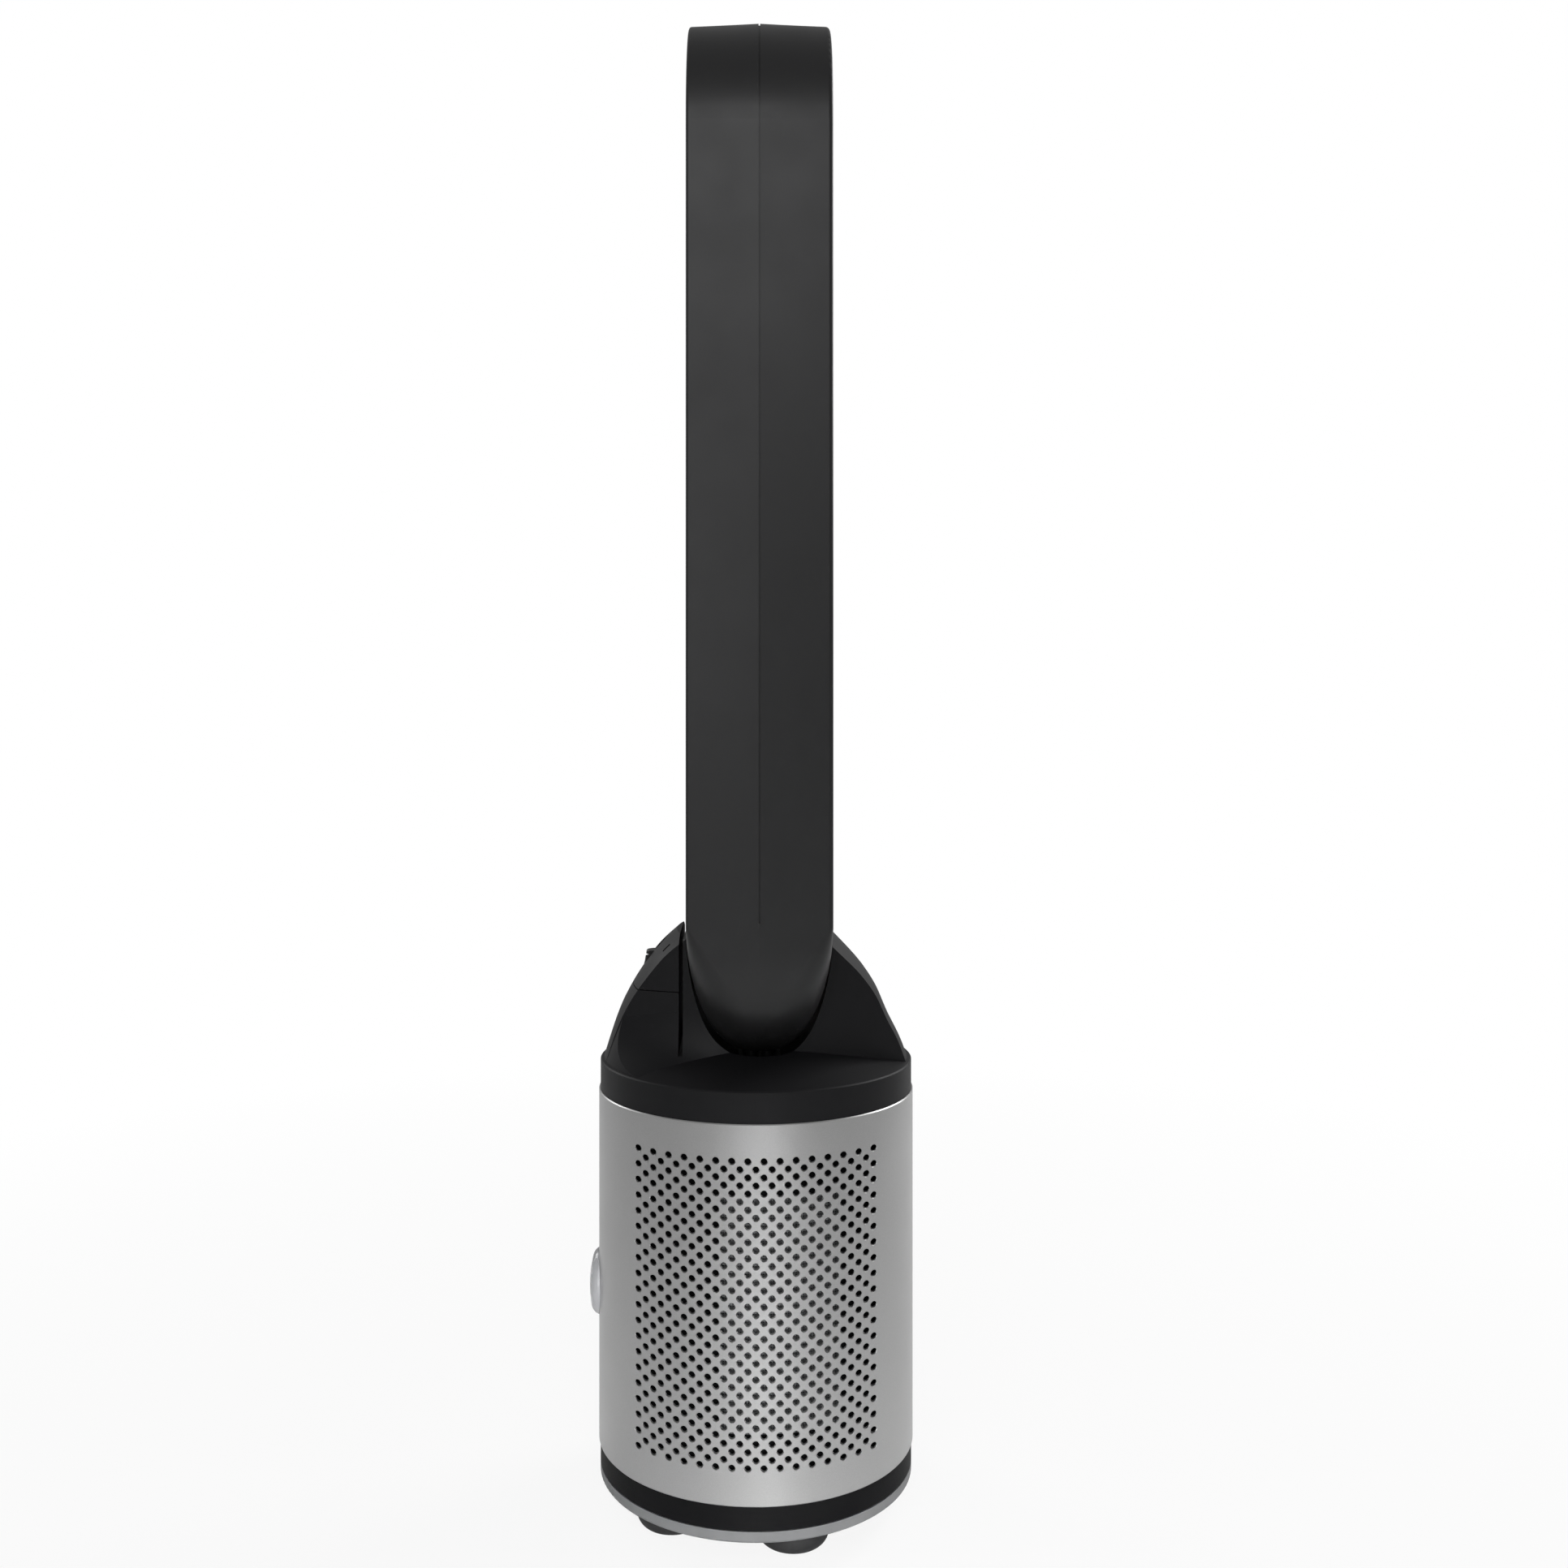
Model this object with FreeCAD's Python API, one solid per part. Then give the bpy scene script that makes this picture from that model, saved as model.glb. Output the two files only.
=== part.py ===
import FreeCAD, Part
import math
import os

from FreeCAD import Vector as V

# Bladeless tower fan: a perforated intake drum that turns on a low base, and a tall hollow loop
# that blows the air forwards. Millimetres, +Z up, the front faces -Y. The origin lies on the
# swivel axis, in the plane that the feet stand on.

# ---------------------------------------------------------------- overall sizes
BODY_R = 107.0            # outer radius of the drum
LOOP_TOP_Z = 998.0        # highest point of the loop
LOOP_HALF_WIDTH = 90.0    # from the middle plane to the seam on the outer face
LOOP_DEPTH = 93.4         # front face to rear face of the loop
SLEEVE_HEIGHT = 237.0     # perforated covers
FIT = 0.3                 # gap between faces that only pass each other
RUNNING_FIT = 0.05        # radial gap of a shaft in its bearing

# ---------------------------------------------------------------- base
FOOT_HEIGHT = 19.0
FOOT_COUNT = 5
FOOT_CIRCLE_R = 69.5
FOOT_FIRST_DEG = 20.0
FOOT_R = 23.5
FOOT_ROUND = 9.0
FOOT_PLUG_R = 6.0
BASE_INSET = 1.0          # how much smaller the base is than the drum
BASE_HEIGHT = 7.4
BASE_FLOOR = 3.0
BASE_EDGE_R = 2.0
BASE_RIM_WALL = 6.0
POST_R = 12.0
POST_BORE_R = 8.0
BALLAST_INNER_R = 58.0
BALLAST_THICK = 3.0
GLIDE_WIDTH = 3.0
GLIDE_HEIGHT = 2.25
GLIDE_GAP = 0.05          # the swivelling chassis rides on the glide ring

# ---------------------------------------------------------------- swivel drive
GEAR_MODULE = 1.5
GEAR_TEETH = 48
PINION_TEETH = 12
GEAR_HEIGHT = 3.6
GEAR_BACKLASH = 0.25
GEAR_PRESSURE_DEG = 20.0
PINION_SHAFT_R = 2.5
DRIVE_MOTOR_R = 17.5
DRIVE_MOTOR_HEIGHT = 18.0
EAR_SCREW_R = 1.2

# ---------------------------------------------------------------- drum
CHASSIS_INSET = 1.0
CHASSIS_HEIGHT = 15.3
CHASSIS_FLOOR = 3.0
CHASSIS_WALL = 3.0
SPIGOT_HEIGHT = 4.0
SPIGOT_WALL = 2.0
THRUST_GAP = 0.1          # end play under the retaining washer
BUSH_WALL = 2.0
BUSH_HEIGHT = 18.0
SLEEVE_WALL = 2.2
SLEEVE_EDGE = 0.6
SLEEVE_SEAM = 0.2
HOLE_R = 2.0
HOLE_PITCH_Y = 5.0        # distance between neighbouring columns
HOLE_PITCH_Z = 10.0       # distance between holes of one column
HOLE_COLUMNS = 31
HOLE_ROWS = 20
HOLE_FIRST_ABOVE_EDGE = 24.0
DRUM_GAP = 4.3            # air gap behind the perforated covers
DRUM_WALL = 2.5
WINDOW_FRONT_Y = -22.0
WINDOW_REAR_Y = 54.0
WINDOW_LOW_ABOVE_EDGE = 41.0
WINDOW_HIGH_ABOVE_EDGE = 190.0
FILTER_THICK = 3.0
FILTER_TAB_WIDTH = 16.0
FILTER_TAB_HEIGHT = 12.0
LENS_R = 22.0
LENS_PROUD = 6.3
LENS_ABOVE_EDGE = 102.0
LENS_PLUG_R = 17.0

# ---------------------------------------------------------------- supply socket
INLET_R = 4.0
INLET_DEPTH = 13.0
INLET_FLANGE = 0.7
PLUG_R = 2.85
PIN_R = 0.9
INLET_ABOVE_CHASSIS = 7.8

# ---------------------------------------------------------------- blower
DUCT_R = 62.0
DUCT_WALL = 2.0
DUCT_HEIGHT = 118.0
BELL_R = 80.0
BELL_HEIGHT = 18.0
BELL_SPOKE_DEG = 60.0     # clear of both filters
IMPELLER_R = 58.0
IMPELLER_HEIGHT = 34.0
IMPELLER_BLADES = 9
BLADE_THICK = 1.8
HUB_LOW_R = 22.0
HUB_HIGH_R = 38.0
VANE_COUNT = 11
MOTOR_R = 29.0
MOTOR_HEIGHT = 34.0
MOTOR_SHAFT_R = 3.0
BEARING_R = 8.0
BEARING_HEIGHT = 5.0

# ---------------------------------------------------------------- cap and wings
BAND_INSET = 1.0
BAND_HEIGHT = 20.0
BAND_WALL = 2.5
BAND_NOTCH = 0.8          # parting groove under the front wing
BAND_NOTCH_ABOVE = 5.0
RIM_EDGE = 0.8
LEDGE_RISE = 0.277        # slope of the ledge towards the middle
WING_START_ABOVE_BAND = 14.0
WING_HALF_WIDTH = 53.0
WING_TIP_HALF_WIDTH = 21.0
FRONT_WING_PLAN_R = 125.0
REAR_WING_PLAN_R = 230.0
WING_SECTIONS = 12
WING_FLATTEN_HEIGHT = 27.0   # the plan curve changes from the band's to the wing's over this height
WING_CORE = 30.0          # both wings start this far from the middle, inside the housing
WING_WALL = 2.5
# each wing's outer line: distance inside the band's face, height above the band's lower edge
FRONT_WING = ((0.5, 14.0), (6.1, 32.4), (12.2, 50.2), (18.3, 63.6), (26.1, 76.9), (38.9, 94.8), (52.0, 107.0))
REAR_WING = ((0.5, 14.0), (7.6, 32.4), (16.5, 50.2), (22.1, 63.6), (29.9, 76.9), (41.0, 90.3), (55.5, 105.0))
HOUSING_TOP_ABOVE_BAND = 100.0
FRONT_WALL_TOP_ABOVE_BAND = 105.4
PIT_GAP = 2.0
PIT_DEEPER = 5.0          # room under the loop, around its neck
PIT_WALL = 2.2
FRONT_WALL = 1.5
SLOT_WIDTH = 2.8
SLOT_LOW_ABOVE_BAND = 31.0
HEAD_SPLIT_ABOVE_BAND = 71.0
SPLIT_GAP = 0.6
HEAD_LIP = 4.0            # the control head's lip reaches this far down inside the wing
FLARE_WIDE = 46.0         # the front wing's sides sweep out to the rim
FLARE_HIGH = 42.0
FLARE_LOW_ABOVE_BAND = 18.5
FLARE_REAR_Y = -5.0
FLARE_MID_Y = -55.0

# ---------------------------------------------------------------- control knob
KNOB_INSIDE_BAND = 37.7
KNOB_R = 7.0
KNOB_TOP_ABOVE_BAND = 91.8
KNOB_CAP_HEIGHT = 2.8
KNOB_EDGE = 0.7
KNOB_RING_DEPTH = 0.4
KNOB_DISH = 0.5
KNOB_STEM_R = 5.0
KNOB_HEIGHT = 10.0
KNOB_TRAVEL = 1.2
KNOB_GAP = 1.5            # between the knob's cap and the collar at rest
KNOB_POCKET_GAP = 1.2
COLLAR_WALL = 1.4
COLLAR_MID_R = 9.7
COLLAR_FOOT_R = 16.5
COLLAR_MID_DROP = 9.2
COLLAR_FOOT_DROP = 20.0
COLLAR_INSIDE = 11.0      # depth of the collar's tube inside the wing
ENCODER_SHAFT_R = 3.0
ENCODER_BODY = 13.0
SENSOR_X = 33.0
SENSOR_LENGTH = 7.0
SENSOR_WIDTH = 3.0
SENSOR_ABOVE_BAND = 98.0

# ---------------------------------------------------------------- loop
LOOP_MIDDLE_Y = 2.3       # the seam between the front and the rear shell
LOOP_WALL = 2.5
LOOP_ROOF = 1.9           # the outer face is highest at the seam
LOOP_FRONT_EDGE_R = 2.0
LOOP_REAR_EDGE_R = 3.0
BOWL_HEIGHT = 90.0        # the rounded lower end
BOWL_ABOVE_BAND_TOP = 8.0
BOWL_CUT = 0.965          # share of the bowl's height where its flat foot lies
BOWL_WIDTH_POWER = 3.0
BOWL_DEPTH_POWER = 2.1
OPENING_HALF_WIDTH = 60.0
OPENING_FRONT_HALF_WIDTH = 76.0
OPENING_LOW_CENTRE_ABOVE_BOWL = 78.0
SLIT_WIDTH = 2.5
SLIT_OVERLAP = 10.0
LIP_WALL = 2.0
LIP_LENGTH = 22.0
SEAM_GROOVE = 1.0
SEAM_GROOVE_DEPTH = 1.1
SEAM_END_ABOVE_BOWL = 4.0
RIDGE_FADE = 0.3          # share of the bowl over which the seam's ridge fades out
NECK_HALF_WIDTH = 29.0
NECK_HALF_DEPTH = 10.5
NECK_WALL = 2.0
LOOP_BOSS_R = 3.4

# ---------------------------------------------------------------- levels that follow
BASE_R = BODY_R - BASE_INSET
CHASSIS_R = BODY_R - CHASSIS_INSET
BAND_R = BODY_R - BAND_INSET
KNOB_Y = KNOB_INSIDE_BAND - BAND_R
FLARE_TIP_Y = 1.0 - BAND_R
BASE_LOW = FOOT_HEIGHT
BASE_TOP = BASE_LOW + BASE_HEIGHT
BASE_FLOOR_TOP = BASE_LOW + BASE_FLOOR
CHASSIS_LOW = BASE_TOP + FIT
CHASSIS_FLOOR_TOP = CHASSIS_LOW + CHASSIS_FLOOR
INLET_Z = CHASSIS_LOW + INLET_ABOVE_CHASSIS
SLEEVE_LOW = CHASSIS_LOW + CHASSIS_HEIGHT
SLEEVE_TOP = SLEEVE_LOW + SLEEVE_HEIGHT
RIM_Z = SLEEVE_TOP + BAND_HEIGHT
BOWL_LOW_Z = RIM_Z + BOWL_ABOVE_BAND_TOP
DRUM_R = BODY_R - SLEEVE_WALL - DRUM_GAP
DRUM_TOP = SLEEVE_TOP - 5.0
GEAR_LOW = BASE_FLOOR_TOP + 0.1
GEAR_CENTRES = GEAR_MODULE * (GEAR_TEETH + PINION_TEETH) / 2
DUCT_TOP = SLEEVE_TOP - 4.0
DUCT_LOW = DUCT_TOP - DUCT_HEIGHT
IMPELLER_LOW = DUCT_LOW + 8.0
MOTOR_LOW = IMPELLER_LOW + IMPELLER_HEIGHT + 8.0
LOOP_FRONT_Y = LOOP_MIDDLE_Y - LOOP_DEPTH / 2
LOOP_REAR_Y = LOOP_MIDDLE_Y + LOOP_DEPTH / 2
LOOP_TOP_CENTRE_Z = LOOP_TOP_Z - LOOP_HALF_WIDTH
BOWL_TOP_Z = BOWL_LOW_Z + BOWL_HEIGHT
OPENING_LOW_CENTRE_Z = BOWL_TOP_Z + OPENING_LOW_CENTRE_ABOVE_BOWL
WING_TAPER = WING_HALF_WIDTH - WING_TIP_HALF_WIDTH
WING_SIDE_R = (BAND_R ** 2 + WING_TAPER ** 2) / (2 * WING_TAPER)
HOUSING_FRONT_Y = LOOP_FRONT_Y - PIT_GAP - FRONT_WALL
WING_BACK_Y = HOUSING_FRONT_Y - SLOT_WIDTH
FAR = 400.0               # longer than any cut needs


# ---------------------------------------------------------------- helpers
def disc(radius, low, high, x=0.0, y=0.0):
    return Part.makeCylinder(radius, high - low, V(x, y, low))


def ring(outer, inner, low, high, x=0.0, y=0.0):
    return disc(outer, low, high, x, y).cut(disc(inner, low - 1, high + 1, x, y))


def block(x_range, y_range, z_range):
    size = [high - low for low, high in (x_range, y_range, z_range)]
    return Part.makeBox(*size, V(x_range[0], y_range[0], z_range[0]))


def group(shapes):
    return Part.makeCompound(shapes)


def joined(first, *others):
    return first.multiFuse(list(others)).removeSplitter()


def around(shape, count, first_deg=0.0):
    copies = []
    for index in range(count):
        copy = shape.copy()
        copy.rotate(V(0, 0, 0), V(0, 0, 1), first_deg + 360.0 * index / count)
        copies.append(copy)
    return copies


def mirrored(shape):
    return shape.mirror(V(0, 0, 0), V(1, 0, 0))


def outline(place, start, *steps):
    """Closed wire: a step of one point is a line, a step of two is an arc by its middle and end."""
    edges = []
    here = start
    for step in steps + ((start,),):
        end = step[-1]
        if math.dist(here, end) > 1e-6:
            if len(step) == 2:
                edges.append(Part.Arc(place(*here), place(*step[0]), place(*end)).toShape())
            else:
                edges.append(Part.LineSegment(place(*here), place(*end)).toShape())
        here = end
    return Part.Wire(edges)


def lines(*points):
    return [(point,) for point in points]


def turned(start, *steps):
    """Solid of revolution about Z from an outline of (radius, height) points."""
    wire = outline(lambda r, z: V(r, 0, z), start, *steps)
    return Part.Face(wire).revolve(V(0, 0, 0), V(0, 0, 1), 360)


def arc_middle(centre, radius, degrees):
    angle = math.radians(degrees)
    return (centre[0] + radius * math.cos(angle), centre[1] + radius * math.sin(angle))


def ellipse_prism(half_x, half_y, low, high, y=0.0):
    curve = Part.Ellipse(V(half_x, y, low), V(0, y + half_y, low), V(0, y, low))
    return Part.Face(Part.Wire([curve.toShape()])).extrude(V(0, 0, high - low))


# ---------------------------------------------------------------- base pieces
def foot_places():
    step = 2 * math.pi / FOOT_COUNT
    first = math.radians(FOOT_FIRST_DEG)
    angles = [first + step * index for index in range(FOOT_COUNT)]
    return [(FOOT_CIRCLE_R * math.cos(a), FOOT_CIRCLE_R * math.sin(a)) for a in angles]


def base_plate():
    inner_r = BASE_R - BASE_RIM_WALL
    edge = (BASE_R - BASE_EDGE_R, BASE_LOW + BASE_EDGE_R)
    groove_in = BASE_R - BASE_RIM_WALL / 2 - GLIDE_WIDTH / 2
    groove_low = BASE_TOP - GLIDE_HEIGHT + FIT - GLIDE_GAP
    tray = turned(
        (0, BASE_LOW),
        ((BASE_R - BASE_EDGE_R, BASE_LOW),),
        (arc_middle(edge, BASE_EDGE_R, -45), (BASE_R, BASE_LOW + BASE_EDGE_R)),
        *lines((BASE_R, BASE_TOP), (inner_r, BASE_TOP), (inner_r, BASE_FLOOR_TOP)),
        *lines((0, BASE_FLOOR_TOP)),
    )
    post_top = CHASSIS_LOW + BUSH_HEIGHT
    post = ring(POST_R, POST_BORE_R, BASE_FLOOR_TOP - 1, post_top)
    tray = joined(tray, post)
    tray = tray.cut(ring(groove_in + GLIDE_WIDTH, groove_in, groove_low, BASE_TOP + 1))
    holes = [disc(FOOT_PLUG_R, 0, BASE_TOP, x, y) for x, y in foot_places()]
    return tray.cut(group(holes + retainer_screw_shanks()))


def glide_ring():
    inner = BASE_R - BASE_RIM_WALL / 2 - GLIDE_WIDTH / 2
    high = CHASSIS_LOW - GLIDE_GAP
    return ring(inner + GLIDE_WIDTH, inner, high - GLIDE_HEIGHT, high)


def rubber_feet():
    shapes = []
    plug_top = BASE_FLOOR_TOP - 0.2
    flat_r = FOOT_R - FOOT_ROUND
    foot = turned(
        (0, 0),
        ((flat_r, 0),),
        (arc_middle((flat_r, FOOT_ROUND), FOOT_ROUND, -45), (FOOT_R, FOOT_ROUND)),
        *lines((FOOT_R, FOOT_HEIGHT), (FOOT_PLUG_R, FOOT_HEIGHT), (FOOT_PLUG_R, plug_top)),
        *lines((0, plug_top)),
    )
    for x, y in foot_places():
        copy = foot.copy()
        copy.translate(V(x, y, 0))
        shapes.append(copy)
    return group(shapes)


def ballast_plate():
    outer = BASE_R - BASE_RIM_WALL - FIT
    plate = ring(outer, BALLAST_INNER_R, BASE_FLOOR_TOP, BASE_FLOOR_TOP + BALLAST_THICK)
    holes = [disc(FOOT_PLUG_R + 1, 0, BASE_TOP, x, y) for x, y in foot_places()]
    return plate.cut(group(holes))


def gear_outline(teeth, thinning):
    """Involute gear section as one wire of curved flanks, tip arcs and root arcs."""
    pitch_r = GEAR_MODULE * teeth / 2
    base_r = pitch_r * math.cos(math.radians(GEAR_PRESSURE_DEG))
    tip_r = pitch_r + GEAR_MODULE * 0.95
    root_r = pitch_r - GEAR_MODULE * 1.25
    roll = math.tan(math.radians(GEAR_PRESSURE_DEG)) - math.radians(GEAR_PRESSURE_DEG)
    half_tooth = math.pi / (2 * teeth) - thinning / (2 * pitch_r)
    radii = [max(base_r, root_r)]
    radii += [radii[0] + (tip_r - radii[0]) * share for share in (0.25, 0.5, 0.75, 1.0)]

    def flank(radius):
        turn = math.sqrt(max((radius / base_r) ** 2 - 1, 0))
        return half_tooth + roll - (turn - math.atan(turn))

    def at(radius, angle):
        return V(radius * math.cos(angle), radius * math.sin(angle), 0)

    edges = []
    pitch_angle = 2 * math.pi / teeth
    for index in range(teeth):
        middle = index * pitch_angle
        rising = [at(r, middle - flank(r)) for r in radii]
        falling = [at(r, middle + flank(r)) for r in reversed(radii)]
        root_from = at(root_r, middle - flank(radii[0]))
        root_to = at(root_r, middle + flank(radii[0]))
        next_root = at(root_r, middle + pitch_angle - flank(radii[0]))
        if (root_from - rising[0]).Length > 1e-6:
            edges.append(Part.LineSegment(root_from, rising[0]).toShape())
        for points in (rising, falling):
            curve = Part.BSplineCurve()
            curve.interpolate(points)
            if points is falling:
                edges.append(Part.Arc(rising[-1], at(tip_r, middle), falling[0]).toShape())
            edges.append(curve.toShape())
        if (root_to - falling[-1]).Length > 1e-6:
            edges.append(Part.LineSegment(falling[-1], root_to).toShape())
        valley = at(root_r, middle + pitch_angle / 2)
        edges.append(Part.Arc(root_to, valley, next_root).toShape())
    return Part.Wire(edges)


def spur_gear(teeth, bore_r, low, high):
    face = Part.Face(gear_outline(teeth, GEAR_BACKLASH / 2))
    gear = face.extrude(V(0, 0, high - low))
    gear.translate(V(0, 0, low))
    return gear.cut(disc(bore_r, low - 1, high + 1))


def fixed_gear():
    """Its tooth space points to +Y, where the pinion's tooth meshes."""
    gear = spur_gear(GEAR_TEETH, POST_R, GEAR_LOW, GEAR_LOW + GEAR_HEIGHT)
    gear.rotate(V(0, 0, 0), V(0, 0, 1), 90 + 180.0 / GEAR_TEETH)
    return gear


def drive_pinion():
    gear = spur_gear(PINION_TEETH, PINION_SHAFT_R, GEAR_LOW + 0.3, GEAR_LOW + GEAR_HEIGHT)
    gear.rotate(V(0, 0, 0), V(0, 0, 1), -90)
    gear.translate(V(0, GEAR_CENTRES, 0))
    return gear


def pinion_shaft():
    top = CHASSIS_FLOOR_TOP + FIT + DRIVE_MOTOR_HEIGHT - 4
    return disc(PINION_SHAFT_R, GEAR_LOW + 0.3, top, 0, GEAR_CENTRES)


def retainer_screw_places():
    radius = (POST_R + POST_BORE_R) / 2
    angles = [math.radians(30 + 120 * index) for index in range(3)]
    return [(radius * math.cos(a), radius * math.sin(a)) for a in angles]


def retainer_screw_shanks():
    top = CHASSIS_LOW + BUSH_HEIGHT + 0.1
    return [disc(1.1, top - 10, top + 3, x, y) for x, y in retainer_screw_places()]


def retainer_washer():
    low = CHASSIS_LOW + BUSH_HEIGHT
    washer = ring(POST_R + BUSH_WALL + 4, POST_BORE_R, low, low + 1.5)
    return washer.cut(group([disc(1.3, low - 1, low + 3, x, y) for x, y in retainer_screw_places()]))


def retainer_screws():
    low = CHASSIS_LOW + BUSH_HEIGHT + 1.5
    shanks = retainer_screw_shanks()
    heads = [disc(1.9, low, low + 1.4, x, y) for x, y in retainer_screw_places()]
    return group([joined(shank, head) for shank, head in zip(shanks, heads)])


# ---------------------------------------------------------------- chassis and swivel drive
def chassis():
    spigot_out = BODY_R - SLEEVE_WALL - FIT
    spigot_in = spigot_out - SPIGOT_WALL
    wall_in = min(CHASSIS_R - CHASSIS_WALL, spigot_in)
    hub_out = POST_R + BUSH_WALL + CHASSIS_WALL
    hub_top = CHASSIS_LOW + BUSH_HEIGHT - THRUST_GAP
    tub = turned(
        (POST_R + BUSH_WALL, CHASSIS_LOW),
        *lines((CHASSIS_R - 0.5, CHASSIS_LOW), (CHASSIS_R, CHASSIS_LOW + 0.5)),
        *lines((CHASSIS_R, SLEEVE_LOW), (spigot_out, SLEEVE_LOW)),
        *lines((spigot_out, SLEEVE_LOW + SPIGOT_HEIGHT), (spigot_in, SLEEVE_LOW + SPIGOT_HEIGHT)),
        *lines((spigot_in, SLEEVE_LOW), (wall_in, SLEEVE_LOW - 2), (wall_in, CHASSIS_FLOOR_TOP)),
        *lines((hub_out, CHASSIS_FLOOR_TOP), (hub_out, hub_top), (POST_R + BUSH_WALL, hub_top)),
    )
    low = CHASSIS_LOW - 1
    high = CHASSIS_FLOOR_TOP + 1
    shaft_hole = disc(PINION_SHAFT_R + 1, low, high, 0, GEAR_CENTRES)
    inlet = inlet_barrel(INLET_R + RUNNING_FIT)
    screws = [disc(EAR_SCREW_R + RUNNING_FIT, low, high, x, y) for x, y in motor_ears()]
    return tub.cut(group([shaft_hole, inlet])).cut(group(screws))


def pivot_bush():
    high = CHASSIS_LOW + BUSH_HEIGHT - THRUST_GAP
    return ring(POST_R + BUSH_WALL, POST_R + RUNNING_FIT, CHASSIS_LOW, high)


def motor_ears():
    reach = DRIVE_MOTOR_R + 3.5
    return [(reach, GEAR_CENTRES), (-reach, GEAR_CENTRES)]


def oscillation_motor():
    low = CHASSIS_FLOOR_TOP
    can = disc(DRIVE_MOTOR_R, low, low + DRIVE_MOTOR_HEIGHT, 0, GEAR_CENTRES)
    ears = []
    for x, y in motor_ears():
        tab = block((min(0, x), max(0, x)), (y - 3.5, y + 3.5), (low, low + 1.2))
        ears += [tab, disc(3.5, low, low + 1.2, x, y)]
    body = joined(can, *ears)
    bore = disc(PINION_SHAFT_R + RUNNING_FIT, low - 1, low + DRIVE_MOTOR_HEIGHT - 3, 0, GEAR_CENTRES)
    return body.cut(bore).cut(group([disc(1.6, low - 1, low + 2, x, y) for x, y in motor_ears()]))


def oscillation_motor_screws():
    low = CHASSIS_FLOOR_TOP + 1.2
    screws = []
    for x, y in motor_ears():
        screws.append(joined(disc(EAR_SCREW_R, low - 3.6, low + 0.5, x, y), disc(2.6, low, low + 1.8, x, y)))
    return group(screws)


def along_y(radius, y_low, y_high, z, x=0.0):
    return Part.makeCylinder(radius, y_high - y_low, V(x, y_low, z), V(0, 1, 0))


def inlet_barrel(radius):
    return along_y(radius, CHASSIS_R - CHASSIS_WALL - 6, CHASSIS_R + 2, INLET_Z)


def power_inlet():
    face = CHASSIS_R - 1.0
    back = face - INLET_DEPTH
    barrel = along_y(INLET_R, back, face, INLET_Z)
    inside = CHASSIS_R - CHASSIS_WALL
    flange = along_y(INLET_R + INLET_FLANGE, inside - 3.5, inside - 2.2, INLET_Z)
    hollow = along_y(PLUG_R, back + 2.5, face + 1, INLET_Z)
    pin = along_y(PIN_R, back + 1, face - 1.5, INLET_Z)
    return joined(joined(barrel, flange).cut(hollow), pin)


# ---------------------------------------------------------------- perforated covers
def sleeve_ring():
    inner = BODY_R - SLEEVE_WALL
    return turned(
        (inner, SLEEVE_LOW),
        *lines((BODY_R - SLEEVE_EDGE, SLEEVE_LOW), (BODY_R, SLEEVE_LOW + SLEEVE_EDGE)),
        *lines((BODY_R, SLEEVE_TOP - SLEEVE_EDGE), (BODY_R - SLEEVE_EDGE, SLEEVE_TOP)),
        *lines((inner, SLEEVE_TOP)),
    )


def hole_tools():
    """Straight-drawn holes along X in a staggered grid of columns."""
    tools = []
    first_y = -HOLE_PITCH_Y * (HOLE_COLUMNS - 1) / 2
    for column in range(HOLE_COLUMNS):
        odd = column % 2
        low = SLEEVE_LOW + HOLE_FIRST_ABOVE_EDGE + odd * HOLE_PITCH_Z / 2
        for row in range(HOLE_ROWS - odd):
            start = V(BODY_R * 0.4, first_y + column * HOLE_PITCH_Y, low + row * HOLE_PITCH_Z)
            tools.append(Part.makeCylinder(HOLE_R, BODY_R, start, V(1, 0, 0)))
    return tools


def right_shell():
    half = block((SLEEVE_SEAM / 2, BODY_R + 1), (-BODY_R - 1, BODY_R + 1), (SLEEVE_LOW, SLEEVE_TOP))
    shell = sleeve_ring().common(half)
    lens_hole = along_y(LENS_PLUG_R + FIT, -BODY_R - 5, -BODY_R / 2, lens_z())
    shell = shell.cut(lens_hole)
    return shell.cut(group(hole_tools()))


def lens_z():
    return SLEEVE_LOW + LENS_ABOVE_EDGE


def front_lens():
    """Low dome over the front seam, its back curved to the drum."""
    front = -BODY_R - LENS_PROUD
    wire = outline(
        lambda r, y: V(r, y, 0),
        (0, front),
        ((LENS_R * 0.40, front + 0.35), (LENS_R * 0.72, front + 1.6)),
        ((LENS_R * 0.94, front + 4.0), (LENS_R, front + LENS_PROUD + 0.4)),
        *lines((LENS_R, -BODY_R * 0.9), (0, -BODY_R * 0.9)),
    )
    dome = Part.Face(wire).revolve(V(0, 0, 0), V(0, 1, 0), 360)
    dome.translate(V(0, 0, lens_z()))
    dome = dome.cut(disc(BODY_R + 0.05, 0, SLEEVE_TOP))
    plug = along_y(LENS_PLUG_R, -BODY_R - 1.5, -BODY_R + SLEEVE_WALL + 2.0, lens_z())
    hollow = along_y(LENS_PLUG_R - 2.5, -BODY_R + 0.5, -BODY_R + SLEEVE_WALL + 3, lens_z())
    return joined(dome, plug.cut(hollow))


def indicator_board():
    y = -BODY_R + SLEEVE_WALL + 2.4
    board = block((-14, 14), (y, y + 1.6), (lens_z() - 14, lens_z() + 14))
    lamps = [along_y(2.0, y - 2.0, y + 0.1, lens_z() + z, x) for x in (-7, 7) for z in (-7, 7)]
    return joined(board, *lamps)


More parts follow.
